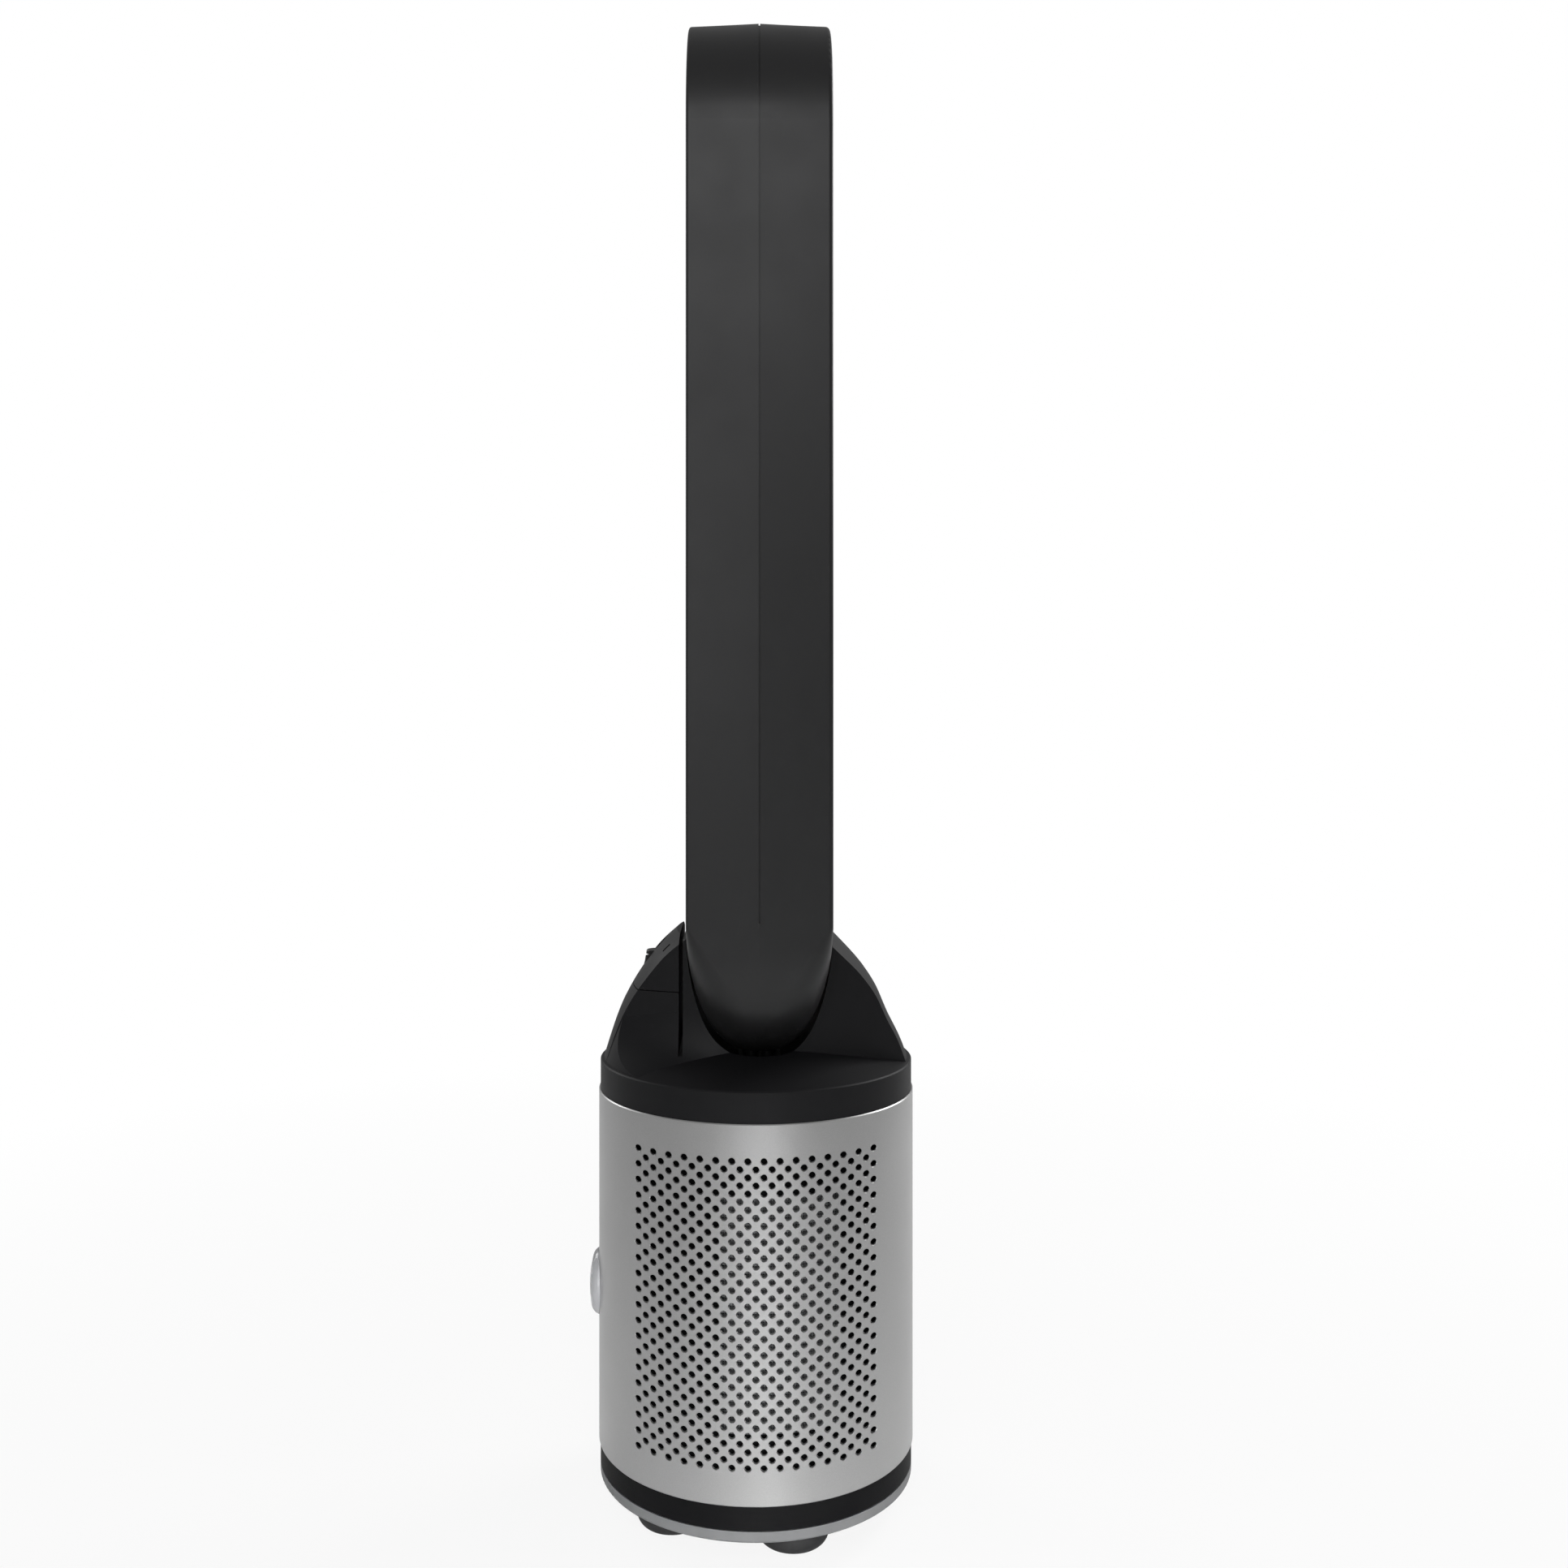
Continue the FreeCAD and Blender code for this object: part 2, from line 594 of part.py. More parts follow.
# ---------------------------------------------------------------- inner drum and filters
def window_block(x_low, grow=0.0):
    y_range = (WINDOW_FRONT_Y - grow, WINDOW_REAR_Y + grow)
    z_low = SLEEVE_LOW + WINDOW_LOW_ABOVE_EDGE - grow
    z_high = SLEEVE_LOW + WINDOW_HIGH_ABOVE_EDGE + grow
    return block((x_low, BODY_R), y_range, (z_low, z_high))


def inner_drum():
    wall = ring(DRUM_R, DRUM_R - DRUM_WALL, CHASSIS_FLOOR_TOP, DRUM_TOP)
    top = ring(DRUM_R, BELL_R + 4, DRUM_TOP - 3, DRUM_TOP)
    drum = joined(wall, top)
    window = window_block(DRUM_R * 0.5)
    drum = drum.cut(group([window, mirrored(window)]))
    drum = drum.cut(along_y(LENS_PLUG_R, -BODY_R, -BODY_R * 0.6, lens_z()))
    drum = drum.cut(inlet_barrel(INLET_R + 2))
    return drum.cut(group([disc(1.6, DRUM_TOP - 4, DRUM_TOP + 1, x, y) for x, y in cap_screw_places()]))


def right_filter():
    """Curved mesh panel behind the window, with a latch tab above and below."""
    outer = DRUM_R - DRUM_WALL - 0.2
    panel = ring(outer, outer - FILTER_THICK, CHASSIS_FLOOR_TOP, DRUM_TOP - 4)
    middle = (WINDOW_FRONT_Y + WINDOW_REAR_Y) / 2
    low = SLEEVE_LOW + WINDOW_LOW_ABOVE_EDGE
    high = SLEEVE_LOW + WINDOW_HIGH_ABOVE_EDGE
    tab_y = (middle - FILTER_TAB_WIDTH / 2, middle + FILTER_TAB_WIDTH / 2)
    tab_z = (low - 3 - FILTER_TAB_HEIGHT, high + 3 + FILTER_TAB_HEIGHT)
    tabs = block((DRUM_R * 0.5, BODY_R), tab_y, tab_z)
    return joined(panel.common(window_block(DRUM_R * 0.5, 3.0)), panel.common(tabs))


# ---------------------------------------------------------------- blower
def fan_duct():
    inner = DUCT_R - DUCT_WALL
    throat = DUCT_LOW + BELL_HEIGHT * 0.4
    return turned(
        (inner, throat),
        *lines((inner, DUCT_TOP), (DUCT_R, DUCT_TOP), (DUCT_R, throat + 3), (DUCT_R + 3, throat)),
        *lines((DUCT_R + 3, throat - 1), (inner, throat - 1)),
    )


def bell_mouth():
    """Flared inlet ring under the duct, carried by the drum on four spokes."""
    high = DUCT_LOW + BELL_HEIGHT * 0.4 - 1
    inner = DUCT_R - DUCT_WALL
    low = high - BELL_HEIGHT
    flare = turned(
        (inner, high),
        ((inner + 3.5, high - BELL_HEIGHT * 0.72), (BELL_R, low)),
        *lines((BELL_R, low + 2)),
        ((inner + 7.0, high - BELL_HEIGHT * 0.60), (inner + 4, high)),
    )
    reach = DRUM_R - DRUM_WALL
    spoke = block((BELL_R - 1.5, reach + 0.5), (-4, 4), (low, low + 2))
    rays = around(spoke, 2, BELL_SPOKE_DEG) + around(spoke, 2, 180 - BELL_SPOKE_DEG)
    spokes = [piece.common(disc(reach, low, low + 2)) for piece in rays]
    return joined(flare, *spokes)


def impeller():
    low = IMPELLER_LOW
    high = low + IMPELLER_HEIGHT
    hub = turned(
        (0, low - 6),
        ((HUB_LOW_R * 0.75, low - 4), (HUB_LOW_R, low + 4)),
        *lines((HUB_HIGH_R, high), (HUB_HIGH_R - 3, high), (HUB_LOW_R - 3, low + 8), (0, low + 8)),
    )
    blade_sections = []
    for share in (0.0, 0.5, 1.0):
        z = low + 3 + (IMPELLER_HEIGHT - 4) * share
        inner = HUB_LOW_R + (HUB_HIGH_R - HUB_LOW_R) * share - 1.5
        angle = -34.0 * share
        half = BLADE_THICK / 2
        corners = [(inner, -half), (IMPELLER_R, -half), (IMPELLER_R, half), (inner, half)]
        wire = Part.makePolygon([V(x, y, z) for x, y in corners + corners[:1]])
        wire.rotate(V(0, 0, 0), V(0, 0, 1), angle)
        blade_sections.append(wire)
    blade = Part.makeLoft(blade_sections, True)
    rotor = joined(hub, *around(blade, IMPELLER_BLADES))
    rotor = rotor.common(disc(IMPELLER_R, low - 10, high + 10))
    return rotor.cut(disc(MOTOR_SHAFT_R, low - 1, high + 1))


def motor_shaft():
    return disc(MOTOR_SHAFT_R, IMPELLER_LOW, MOTOR_LOW + MOTOR_HEIGHT - 6)


def motor_rotor():
    """Magnet bell on the shaft inside the stator."""
    low = MOTOR_LOW + BEARING_HEIGHT + 4
    return ring(MOTOR_R - 17, MOTOR_SHAFT_R, low, MOTOR_LOW + MOTOR_HEIGHT - BEARING_HEIGHT - 7)


def motor_stator():
    low = MOTOR_LOW + BEARING_HEIGHT + 3
    high = MOTOR_LOW + MOTOR_HEIGHT - BEARING_HEIGHT - 6
    stack = ring(MOTOR_R - 3, MOTOR_R - 16.4, low + 3, high - 3)
    slot = block((MOTOR_R - 14.5, MOTOR_R - 7), (-2.0, 2.0), (low, high))
    stack = stack.cut(group(around(slot, 9)))
    coil = block((MOTOR_R - 13.5, MOTOR_R - 8), (-3.0, 3.0), (low, low + 3))
    upper = coil.copy()
    upper.translate(V(0, 0, high - 3 - low))
    return joined(stack, *around(coil, 9, 20), *around(upper, 9, 20))


def motor_bearings():
    low = MOTOR_LOW + 3
    high = MOTOR_LOW + MOTOR_HEIGHT - BEARING_HEIGHT - 5
    return group([
        ring(BEARING_R, MOTOR_SHAFT_R + 0.02, low, low + BEARING_HEIGHT),
        ring(BEARING_R, MOTOR_SHAFT_R + 0.02, high, high + BEARING_HEIGHT),
    ])


def diffuser():
    """Motor bucket held in the duct by vanes, with a seat for the lower bearing."""
    low = MOTOR_LOW
    high = MOTOR_LOW + MOTOR_HEIGHT
    bucket = ring(MOTOR_R, MOTOR_R - 2.5, low, high)
    floor = ring(MOTOR_R, MOTOR_SHAFT_R + 1, low, low + 3)
    seat = ring(BEARING_R + 2, BEARING_R, low, low + 3 + BEARING_HEIGHT)
    reach = DUCT_R - DUCT_WALL
    vane = block((MOTOR_R - 1, reach + 0.5), (-0.9, 0.9), (low, high))
    vane.rotate(V(MOTOR_R, 0, low), V(1, 0, 0), 14)
    vanes = [piece.common(disc(reach, low - 20, high + 20)) for piece in around(vane, VANE_COUNT)]
    return joined(bucket, floor, seat, *vanes)


def tail_cone():
    low = MOTOR_LOW + MOTOR_HEIGHT
    seat_low = low - BEARING_HEIGHT - 5
    cone = turned(
        (0, low + 22),
        ((MOTOR_R * 0.62, low + 15), (MOTOR_R, low)),
        *lines((MOTOR_R - 2.6, low), (MOTOR_R - 2.6, low - 2), (MOTOR_R - 4.6, low - 2)),
        *lines((MOTOR_R - 4.6, low), (BEARING_R + 2, low), (BEARING_R + 2, seat_low)),
        *lines((BEARING_R, seat_low), (BEARING_R, seat_low + BEARING_HEIGHT)),
        *lines((MOTOR_SHAFT_R + 1.5, seat_low + BEARING_HEIGHT), (MOTOR_SHAFT_R + 1.5, low + 2)),
        *lines((0, low + 2)),
    )
    return cone


def duct_dampers():
    """Rubber rings that hang the duct in the cap."""
    low = DUCT_TOP - 12
    return group([ring(DUCT_R + 4, DUCT_R, low, low + 4), ring(DUCT_R + 4, DUCT_R, low - 30, low - 26)])


def main_board():
    low = CHASSIS_FLOOR_TOP + 5
    top = low + 1.6
    board = block((-38, 38), (-72, -30), (low, top))
    parts = [block((-30, -14), (-66, -50), (top, top + 14.4))]
    parts += [disc(6, top, top + 18.4, x, -58) for x in (2, 17)]
    parts += [block((x, x + 10), (-44, -36), (top, top + 2.4)) for x in (-26, -12, 2, 16)]
    posts = [disc(3, CHASSIS_FLOOR_TOP, low, x, y) for x in (-33, 33) for y in (-67, -35)]
    return joined(board, *parts, *posts)


# ---------------------------------------------------------------- loop
def loop_section(grow, full):
    """Outer section of the loop's legs, square to the leg; full spans both legs."""
    front = LOOP_FRONT_Y - grow
    rear = LOOP_REAR_Y + grow
    peak = LOOP_HALF_WIDTH + grow
    side = peak - LOOP_ROOF
    front_r = max(LOOP_FRONT_EDGE_R + grow, 0.5)
    rear_r = max(LOOP_REAR_EDGE_R + grow, 0.5)
    front_centre = (side - front_r, front + front_r)
    rear_centre = (side - rear_r, rear - rear_r)
    right_side = [
        ((side - front_r, front),),
        (arc_middle(front_centre, front_r, -45), (side, front + front_r)),
        ((peak, LOOP_MIDDLE_Y),),
        ((side, rear - rear_r),),
        (arc_middle(rear_centre, rear_r, 45), (side - rear_r, rear)),
    ]
    if not full:
        return (0, front), right_side + [((0, rear),)]
    left_side = [((-(side - rear_r), rear),)]
    middle = arc_middle(rear_centre, rear_r, 45)
    left_side.append(((-middle[0], middle[1]), (-side, rear - rear_r)))
    left_side += lines((-peak, LOOP_MIDDLE_Y), (-side, front + front_r))
    middle = arc_middle(front_centre, front_r, -45)
    left_side.append(((-middle[0], middle[1]), (-(side - front_r), front)))
    return (-(side - front_r), front), right_side + left_side


def half_turn(start, steps, centre_z, up):
    """Half a ring about the Y direction, over the top or under the bottom."""
    wire = outline(lambda x, y: V(x, y, centre_z), start, *steps)
    axis = V(0, -1, 0) if up else V(0, 1, 0)
    return Part.Face(wire).revolve(V(0, 0, centre_z), axis, 180)


def bowl_section(share, grow, deeper):
    """Closed wire of the rounded lower end at a share of its height."""
    across = (1 - share ** BOWL_WIDTH_POWER) ** (1 / BOWL_WIDTH_POWER)
    deep = (1 - share ** BOWL_DEPTH_POWER) ** (1 / BOWL_DEPTH_POWER)
    peak = (LOOP_HALF_WIDTH + grow) * across
    half_depth = (LOOP_DEPTH / 2 + grow) * deep
    side = peak - LOOP_ROOF * max(0.0, 1 - share / RIDGE_FADE)
    z = BOWL_TOP_Z - (BOWL_HEIGHT + grow + deeper) * share
    front = LOOP_MIDDLE_Y - half_depth
    rear = LOOP_MIDDLE_Y + half_depth
    bend = math.sin(share * math.pi / 2)
    full_r = min(half_depth * 0.96, side * 0.9)
    front_start = max(LOOP_FRONT_EDGE_R + grow, 0.5)
    rear_start = max(LOOP_REAR_EDGE_R + grow, 0.5)
    front_r = front_start + (full_r - front_start) * bend
    rear_r = rear_start + (full_r - rear_start) * bend
    front_middle = arc_middle((side - front_r, front + front_r), front_r, -45)
    rear_middle = arc_middle((side - rear_r, rear - rear_r), rear_r, 45)
    return outline(
        lambda x, y: V(x, y, z),
        (-(side - front_r), front),
        ((side - front_r, front),),
        (front_middle, (side, front + front_r)),
        *lines((peak, LOOP_MIDDLE_Y), (side, rear - rear_r)),
        (rear_middle, (side - rear_r, rear)),
        ((-(side - rear_r), rear),),
        ((-rear_middle[0], rear_middle[1]), (-side, rear - rear_r)),
        *lines((-peak, LOOP_MIDDLE_Y), (-side, front + front_r)),
        ((-front_middle[0], front_middle[1]), (-(side - front_r), front)),
    )


def bowl(grow, deeper=0.0):
    shares = (0.0, 0.12, 0.26, 0.4, 0.54, 0.67, 0.78, 0.87, 0.93, BOWL_CUT)
    return Part.makeLoft([bowl_section(share, grow, deeper) for share in shares], True)


def loop_body(grow):
    """The loop's outer form, with no opening."""
    start, steps = loop_section(grow, False)
    arch = half_turn(start, steps, LOOP_TOP_CENTRE_Z, True)
    start, steps = loop_section(grow, True)
    wire = outline(lambda x, y: V(x, y, BOWL_TOP_Z), start, *steps)
    legs = Part.Face(wire).extrude(V(0, 0, LOOP_TOP_CENTRE_Z - BOWL_TOP_Z))
    return arch.fuse([legs, bowl(grow)])


def around_opening(start, steps):
    """A section carried once round the opening: arch, two straights and lower arch."""
    wire = outline(lambda x, y: V(x, y, OPENING_LOW_CENTRE_Z), start, *steps)
    length = LOOP_TOP_CENTRE_Z - OPENING_LOW_CENTRE_Z
    leg = Part.Face(wire).extrude(V(0, 0, length))
    arch = half_turn(start, steps, LOOP_TOP_CENTRE_Z, True)
    cradle = half_turn(start, steps, OPENING_LOW_CENTRE_Z, False)
    return arch.fuse([leg, mirrored(leg), cradle])


SLIT_NOSE_Y = LOOP_REAR_Y - LIP_LENGTH
GUIDE_X = OPENING_HALF_WIDTH + LIP_WALL + SLIT_WIDTH
GUIDE_MIDDLE = (GUIDE_X + (OPENING_FRONT_HALF_WIDTH - GUIDE_X) * 0.36, LOOP_MIDDLE_Y - 3.0)


def opening_void():
    front = LOOP_FRONT_Y - 2
    return around_opening(
        (0, front),
        [
            ((OPENING_FRONT_HALF_WIDTH + 0.8, front),),
            (GUIDE_MIDDLE, (GUIDE_X, SLIT_NOSE_Y)),
            *lines((OPENING_HALF_WIDTH, SLIT_NOSE_Y), (OPENING_HALF_WIDTH, LOOP_REAR_Y - 4)),
            *lines((OPENING_HALF_WIDTH + 4, LOOP_REAR_Y + 1), (0, LOOP_REAR_Y + 1)),
        ],
    )


def guide_wall():
    """The curved wall that the air clings to, from the slit to the front edge."""
    wall = LOOP_WALL
    front = LOOP_FRONT_Y + 0.5
    end = SLIT_NOSE_Y + SLIT_OVERLAP
    outer_middle = (GUIDE_MIDDLE[0] + wall, GUIDE_MIDDLE[1])
    return around_opening(
        (OPENING_FRONT_HALF_WIDTH, front),
        [
            (GUIDE_MIDDLE, (GUIDE_X, SLIT_NOSE_Y)),
            *lines((GUIDE_X, end), (GUIDE_X + wall, end), (GUIDE_X + wall, SLIT_NOSE_Y)),
            (outer_middle, (OPENING_FRONT_HALF_WIDTH + wall, front)),
        ],
    )


def slit_lip():
    inner = OPENING_HALF_WIDTH
    return around_opening(
        (inner, SLIT_NOSE_Y + 1),
        lines(
            (inner + LIP_WALL / 2, SLIT_NOSE_Y),
            (inner + LIP_WALL, SLIT_NOSE_Y + 1),
            (inner + LIP_WALL, LOOP_REAR_Y - LOOP_WALL / 2),
            (inner + 2.5 * LIP_WALL, LOOP_REAR_Y - LOOP_WALL / 2),
            (inner + 2.5 * LIP_WALL, LOOP_REAR_Y),
            (inner, LOOP_REAR_Y),
        ),
    )


def neck_clearance():
    """Oval hole that the funnel's neck passes through."""
    half_x = NECK_HALF_WIDTH + FIT
    half_y = NECK_HALF_DEPTH + FIT
    return ellipse_prism(half_x, half_y, BOWL_LOW_Z - 20, BOWL_LOW_Z + 9, LOOP_MIDDLE_Y)


def loop_screw_places():
    x = NECK_HALF_WIDTH + 6.0
    reach = NECK_HALF_DEPTH / 2
    return [(sx * x, LOOP_MIDDLE_Y + sy * reach) for sx in (1, -1) for sy in (1, -1)]


def loop_skin():
    """Both shells of the loop as one hollow body."""
    body = loop_body(0.0)
    bosses = [disc(LOOP_BOSS_R, BOWL_LOW_Z, BOWL_LOW_Z + 22, x, y) for x, y in loop_screw_places()]
    bosses = [boss.common(body) for boss in bosses]
    skin = body.cut(loop_body(-LOOP_WALL))
    skin = skin.fuse([guide_wall(), slit_lip()] + bosses)
    skin = skin.cut(opening_void())
    neck = neck_clearance()
    pilots = [disc(1.2, BOWL_LOW_Z - 5, BOWL_LOW_Z + 16, x, y) for x, y in loop_screw_places()]
    skin = skin.cut(group([neck] + pilots))
    groove_y = (LOOP_MIDDLE_Y - SEAM_GROOVE / 2, LOOP_MIDDLE_Y + SEAM_GROOVE / 2)
    slab = block((-FAR, FAR), groove_y, (BOWL_TOP_Z + SEAM_END_ABOVE_BOWL, LOOP_TOP_Z + 5))
    return skin.cut(slab.cut(loop_body(-SEAM_GROOVE_DEPTH)).cut(opening_void()))


def loop_shells():
    skin = loop_skin()
    guide = guide_wall()
    z_range = (0, LOOP_TOP_Z + 10)
    ahead = block((-FAR, FAR), (-FAR, LOOP_MIDDLE_Y), z_range)
    behind = block((-FAR, FAR), (LOOP_MIDDLE_Y, FAR), z_range)
    front = skin.common(ahead).fuse(guide.common(behind).cut(opening_void())).removeSplitter()
    rear = skin.common(behind).cut(guide).removeSplitter()
    return biggest(front), biggest(rear)


def biggest(shape):
    return max(shape.Solids, key=lambda solid: solid.Volume)


# ---------------------------------------------------------------- cap, wings and control head
def wing_profile(line):
    """Smooth line through the wing's points: distance from the axis by height."""
    points = [(BAND_R - inside, level) for inside, level in line]
    last = len(points) - 1

    def slope(index):
        low = points[max(index - 1, 0)]
        high = points[min(index + 1, last)]
        return (high[0] - low[0]) / (high[1] - low[1])

    def half_length(z):
        above = z - SLEEVE_TOP
        index = max((i for i in range(last) if points[i][1] <= above), default=0)
        start, end = points[index], points[index + 1]
        span = end[1] - start[1]
        t = (above - start[1]) / span
        near = start[0] * (1 + 2 * t) + span * slope(index) * t
        far = end[0] * (3 - 2 * t) - span * slope(index + 1) * (1 - t)
        return near * (1 - t) ** 2 + far * t ** 2

    return half_length


def wing(side, back, inset=0.0):
    """Wing from the rim up to its ridge: plan arcs that flatten with height. side -1 is the front."""
    points = FRONT_WING if side < 0 else REAR_WING
    plan_top_r = FRONT_WING_PLAN_R if side < 0 else REAR_WING_PLAN_R
    half_length = wing_profile(points)
    foot = SLEEVE_TOP + WING_START_ABOVE_BAND
    top = SLEEVE_TOP + points[-1][1]
    width = WING_HALF_WIDTH + 6
    sections = []
    for step in range(WING_SECTIONS):
        z = foot + (top - foot) * step / (WING_SECTIONS - 1)
        flatten = min(1.0, (z - foot) / WING_FLATTEN_HEIGHT)
        curve = (1 - flatten) / BAND_R + flatten / plan_top_r
        plan_r = 1 / curve - inset
        reach = half_length(z) - inset
        edge = reach - plan_r + math.sqrt(plan_r ** 2 - width ** 2)
        sections.append(outline(
            lambda x, y: V(x, y, z - inset * flatten),
            (-width, side * back),
            *lines((-width, side * edge)),
            ((0, side * reach), (width, side * edge)),
            *lines((width, side * back)),
        ))
    return Part.makeLoft(sections, True)


def eye_prism(low, high, inset=0.0):
    """Plan outline of the wings: two long arcs that meet near the front and rear rim."""
    half = WING_HALF_WIDTH - inset
    tip = WING_TIP_HALF_WIDTH - inset
    reach = BAND_R + 2
    return Part.Face(outline(
        lambda x, y: V(x, y, low),
        (tip, -reach),
        ((half, 0), (tip, reach)),
        *lines((-tip, reach)),
        ((-half, 0), (-tip, -reach)),
    )).extrude(V(0, 0, high - low))


def ledge_height(radius):
    return RIM_Z + (BAND_R - RIM_EDGE - radius) * LEDGE_RISE


def band_and_ledge(inset=0.0):
    """Round band with the sloping ledge on top."""
    radius = BAND_R - inset
    rim = RIM_Z - inset
    return turned(
        (0, SLEEVE_TOP),
        *lines((radius, SLEEVE_TOP), (radius, rim - RIM_EDGE), (radius - RIM_EDGE, rim)),
        *lines((0, ledge_height(0) - inset)),
    )


def wings_block(inset=0.0):
    """Housing between and with both wings, before the loop's pit is cut."""
    top = SLEEVE_TOP + HOUSING_TOP_ABOVE_BAND - inset
    low = SLEEVE_TOP
    side = WING_HALF_WIDTH + 6
    middle = block((-side, side), (HOUSING_FRONT_Y, WING_CORE), (low, top))
    start = SLEEVE_TOP + WING_START_ABOVE_BAND
    whole = wing(1, WING_CORE, inset).fuse([wing(-1, WING_CORE, inset), middle])
    under = disc(BAND_R - inset - 0.5, low, start + 0.5)
    prism = eye_prism(low, SLEEVE_TOP + 150, inset)
    return whole.fuse(under).common(prism)


def flare(inset=0.0):
    """The front wing's concave sides, sweeping out to the band's rim."""
    low = SLEEVE_TOP + FLARE_LOW_ABOVE_BAND
    mid_x = WING_HALF_WIDTH - FLARE_MID_Y ** 2 / (2 * WING_SIDE_R)
    sections = []
    for share in (0.0, 0.02, 0.06, 0.13, 0.24, 0.4, 0.6, 0.8, 1.0):
        out = FLARE_WIDE * (1 - math.sqrt(1 - (1 - share) ** 2)) - inset
        z = low + FLARE_HIGH * share - inset
        rear = (WING_HALF_WIDTH - inset, FLARE_REAR_Y)
        middle = (mid_x + out * 0.9, FLARE_MID_Y)
        tip = (WING_TIP_HALF_WIDTH + out, FLARE_TIP_Y)
        sections.append(outline(
            lambda x, y: V(x, y, z),
            (-tip[0], FLARE_TIP_Y),
            (tip,),
            (middle, rear),
            ((-rear[0], rear[1]),),
            ((-middle[0], middle[1]), (-tip[0], FLARE_TIP_Y)),
        ))
    sweep = Part.makeLoft(sections, True)
    drum = disc(BAND_R - inset, 0, SLEEVE_TOP + WING_START_ABOVE_BAND + 0.2)
    return sweep.common(wide_front_wing(inset).fuse(drum))


def wide_front_wing(inset):
    """The front wing's outer form carried on past its sides, to trim the flare."""
    half_length = wing_profile(FRONT_WING)
    foot = SLEEVE_TOP + WING_START_ABOVE_BAND
    top = SLEEVE_TOP + FLARE_LOW_ABOVE_BAND + FLARE_HIGH + 4
    width = BAND_R - 4
    sections = []
    for step in range(5):
        z = foot + (top - foot) * step / 4
        reach = half_length(z) - inset
        plan_r = BAND_R - inset
        edge = reach - plan_r + math.sqrt(plan_r ** 2 - width ** 2)
        sections.append(outline(
            lambda x, y: V(x, y, z),
            (-width, 0),
            *lines((-width, -edge)),
            ((0, -reach), (width, -edge)),
            *lines((width, 0)),
        ))
    return Part.makeLoft(sections, True)


def slot_block():
    low = SLEEVE_TOP + SLOT_LOW_ABOVE_BAND
    return block((-FAR, FAR), (WING_BACK_Y, HOUSING_FRONT_Y), (low, low + FAR))


def front_region(low_above, high_above, back):
    low = SLEEVE_TOP + low_above
    return block((-FAR, FAR), (-FAR, back), (low, SLEEVE_TOP + high_above))


def cap_screw_places():
    radius = (DRUM_R + BELL_R) / 2 + 2
    angles = [math.pi / 4 + math.pi / 2 * index for index in range(4)]
    return [(radius * math.cos(a), radius * math.sin(a)) for a in angles]


def head_cavity(extra=0.0):
    """Hollow of the front wing."""
    wall = WING_WALL + extra
    region = front_region(0, 150, WING_BACK_Y - wall)
    solid = wing(-1, WING_CORE, wall)
    return solid.common(eye_prism(SLEEVE_TOP, SLEEVE_TOP + 150, wall)).common(region)


def front_wing():
    region = front_region(0, 150, WING_BACK_Y)
    return wing(-1, WING_CORE).common(eye_prism(SLEEVE_TOP, SLEEVE_TOP + 150)).common(region)


def knob_collar(grow=0.0):
    """Flared collar that carries the knob out of the slope; grow thins it to its inner form."""
    rim = knob_top() - KNOB_CAP_HEIGHT - KNOB_GAP
    rim_r = KNOB_R + 0.4 - grow
    low = rim - COLLAR_FOOT_DROP - 6
    middle = (COLLAR_MID_R - grow, rim - COLLAR_MID_DROP - grow)
    foot = (COLLAR_FOOT_R - grow, rim - COLLAR_FOOT_DROP - grow)
    form = turned(
        (0, rim + grow),
        *lines((rim_r, rim + grow)),
        (middle, foot),
        *lines((foot[0], low), (0, low)),
    )
    form.translate(V(0, KNOB_Y, 0))
    return form


def control_head():
    """Upper front piece: a sloping face with the knob's collar and two sensor windows."""
    shell = front_wing().common(front_region(HEAD_SPLIT_ABOVE_BAND, 150, WING_BACK_Y))
    shell = shell.cut(head_cavity())
    split = SLEEVE_TOP + HEAD_SPLIT_ABOVE_BAND
    lip_zone = front_region(HEAD_SPLIT_ABOVE_BAND - HEAD_LIP, HEAD_SPLIT_ABOVE_BAND + 0.5, WING_BACK_Y)
    lip = head_cavity(FIT).cut(head_cavity(FIT + 1.2)).common(lip_zone)
    rim = knob_top() - KNOB_CAP_HEIGHT - KNOB_GAP
    pocket_r = KNOB_R + KNOB_POCKET_GAP
    pocket = disc(pocket_r, rim - 0.6, rim + FAR, 0, KNOB_Y)
    bore = disc(KNOB_STEM_R + FIT, split - 20, rim + 1, 0, KNOB_Y)
    inner = knob_collar(COLLAR_WALL).common(head_cavity())
    collar = knob_collar().cut(block((-FAR, FAR), (-FAR, FAR), (0, split)))
    tube = disc(KNOB_R + 0.4, rim - COLLAR_INSIDE, rim, 0, KNOB_Y)
    collar = collar.cut(head_cavity().cut(tube)).cut(inner.cut(tube))
    behind = block((-FAR, FAR), (WING_BACK_Y - WING_WALL, FAR), (0, FAR * 2))
    shell = shell.cut(pocket).fuse([collar.cut(behind), lip])
    window_cuts = [sensor_oval(x, 0.0) for x in (-SENSOR_X, SENSOR_X)]
    return biggest(shell.cut(group([bore])).cut(group(window_cuts)).removeSplitter())


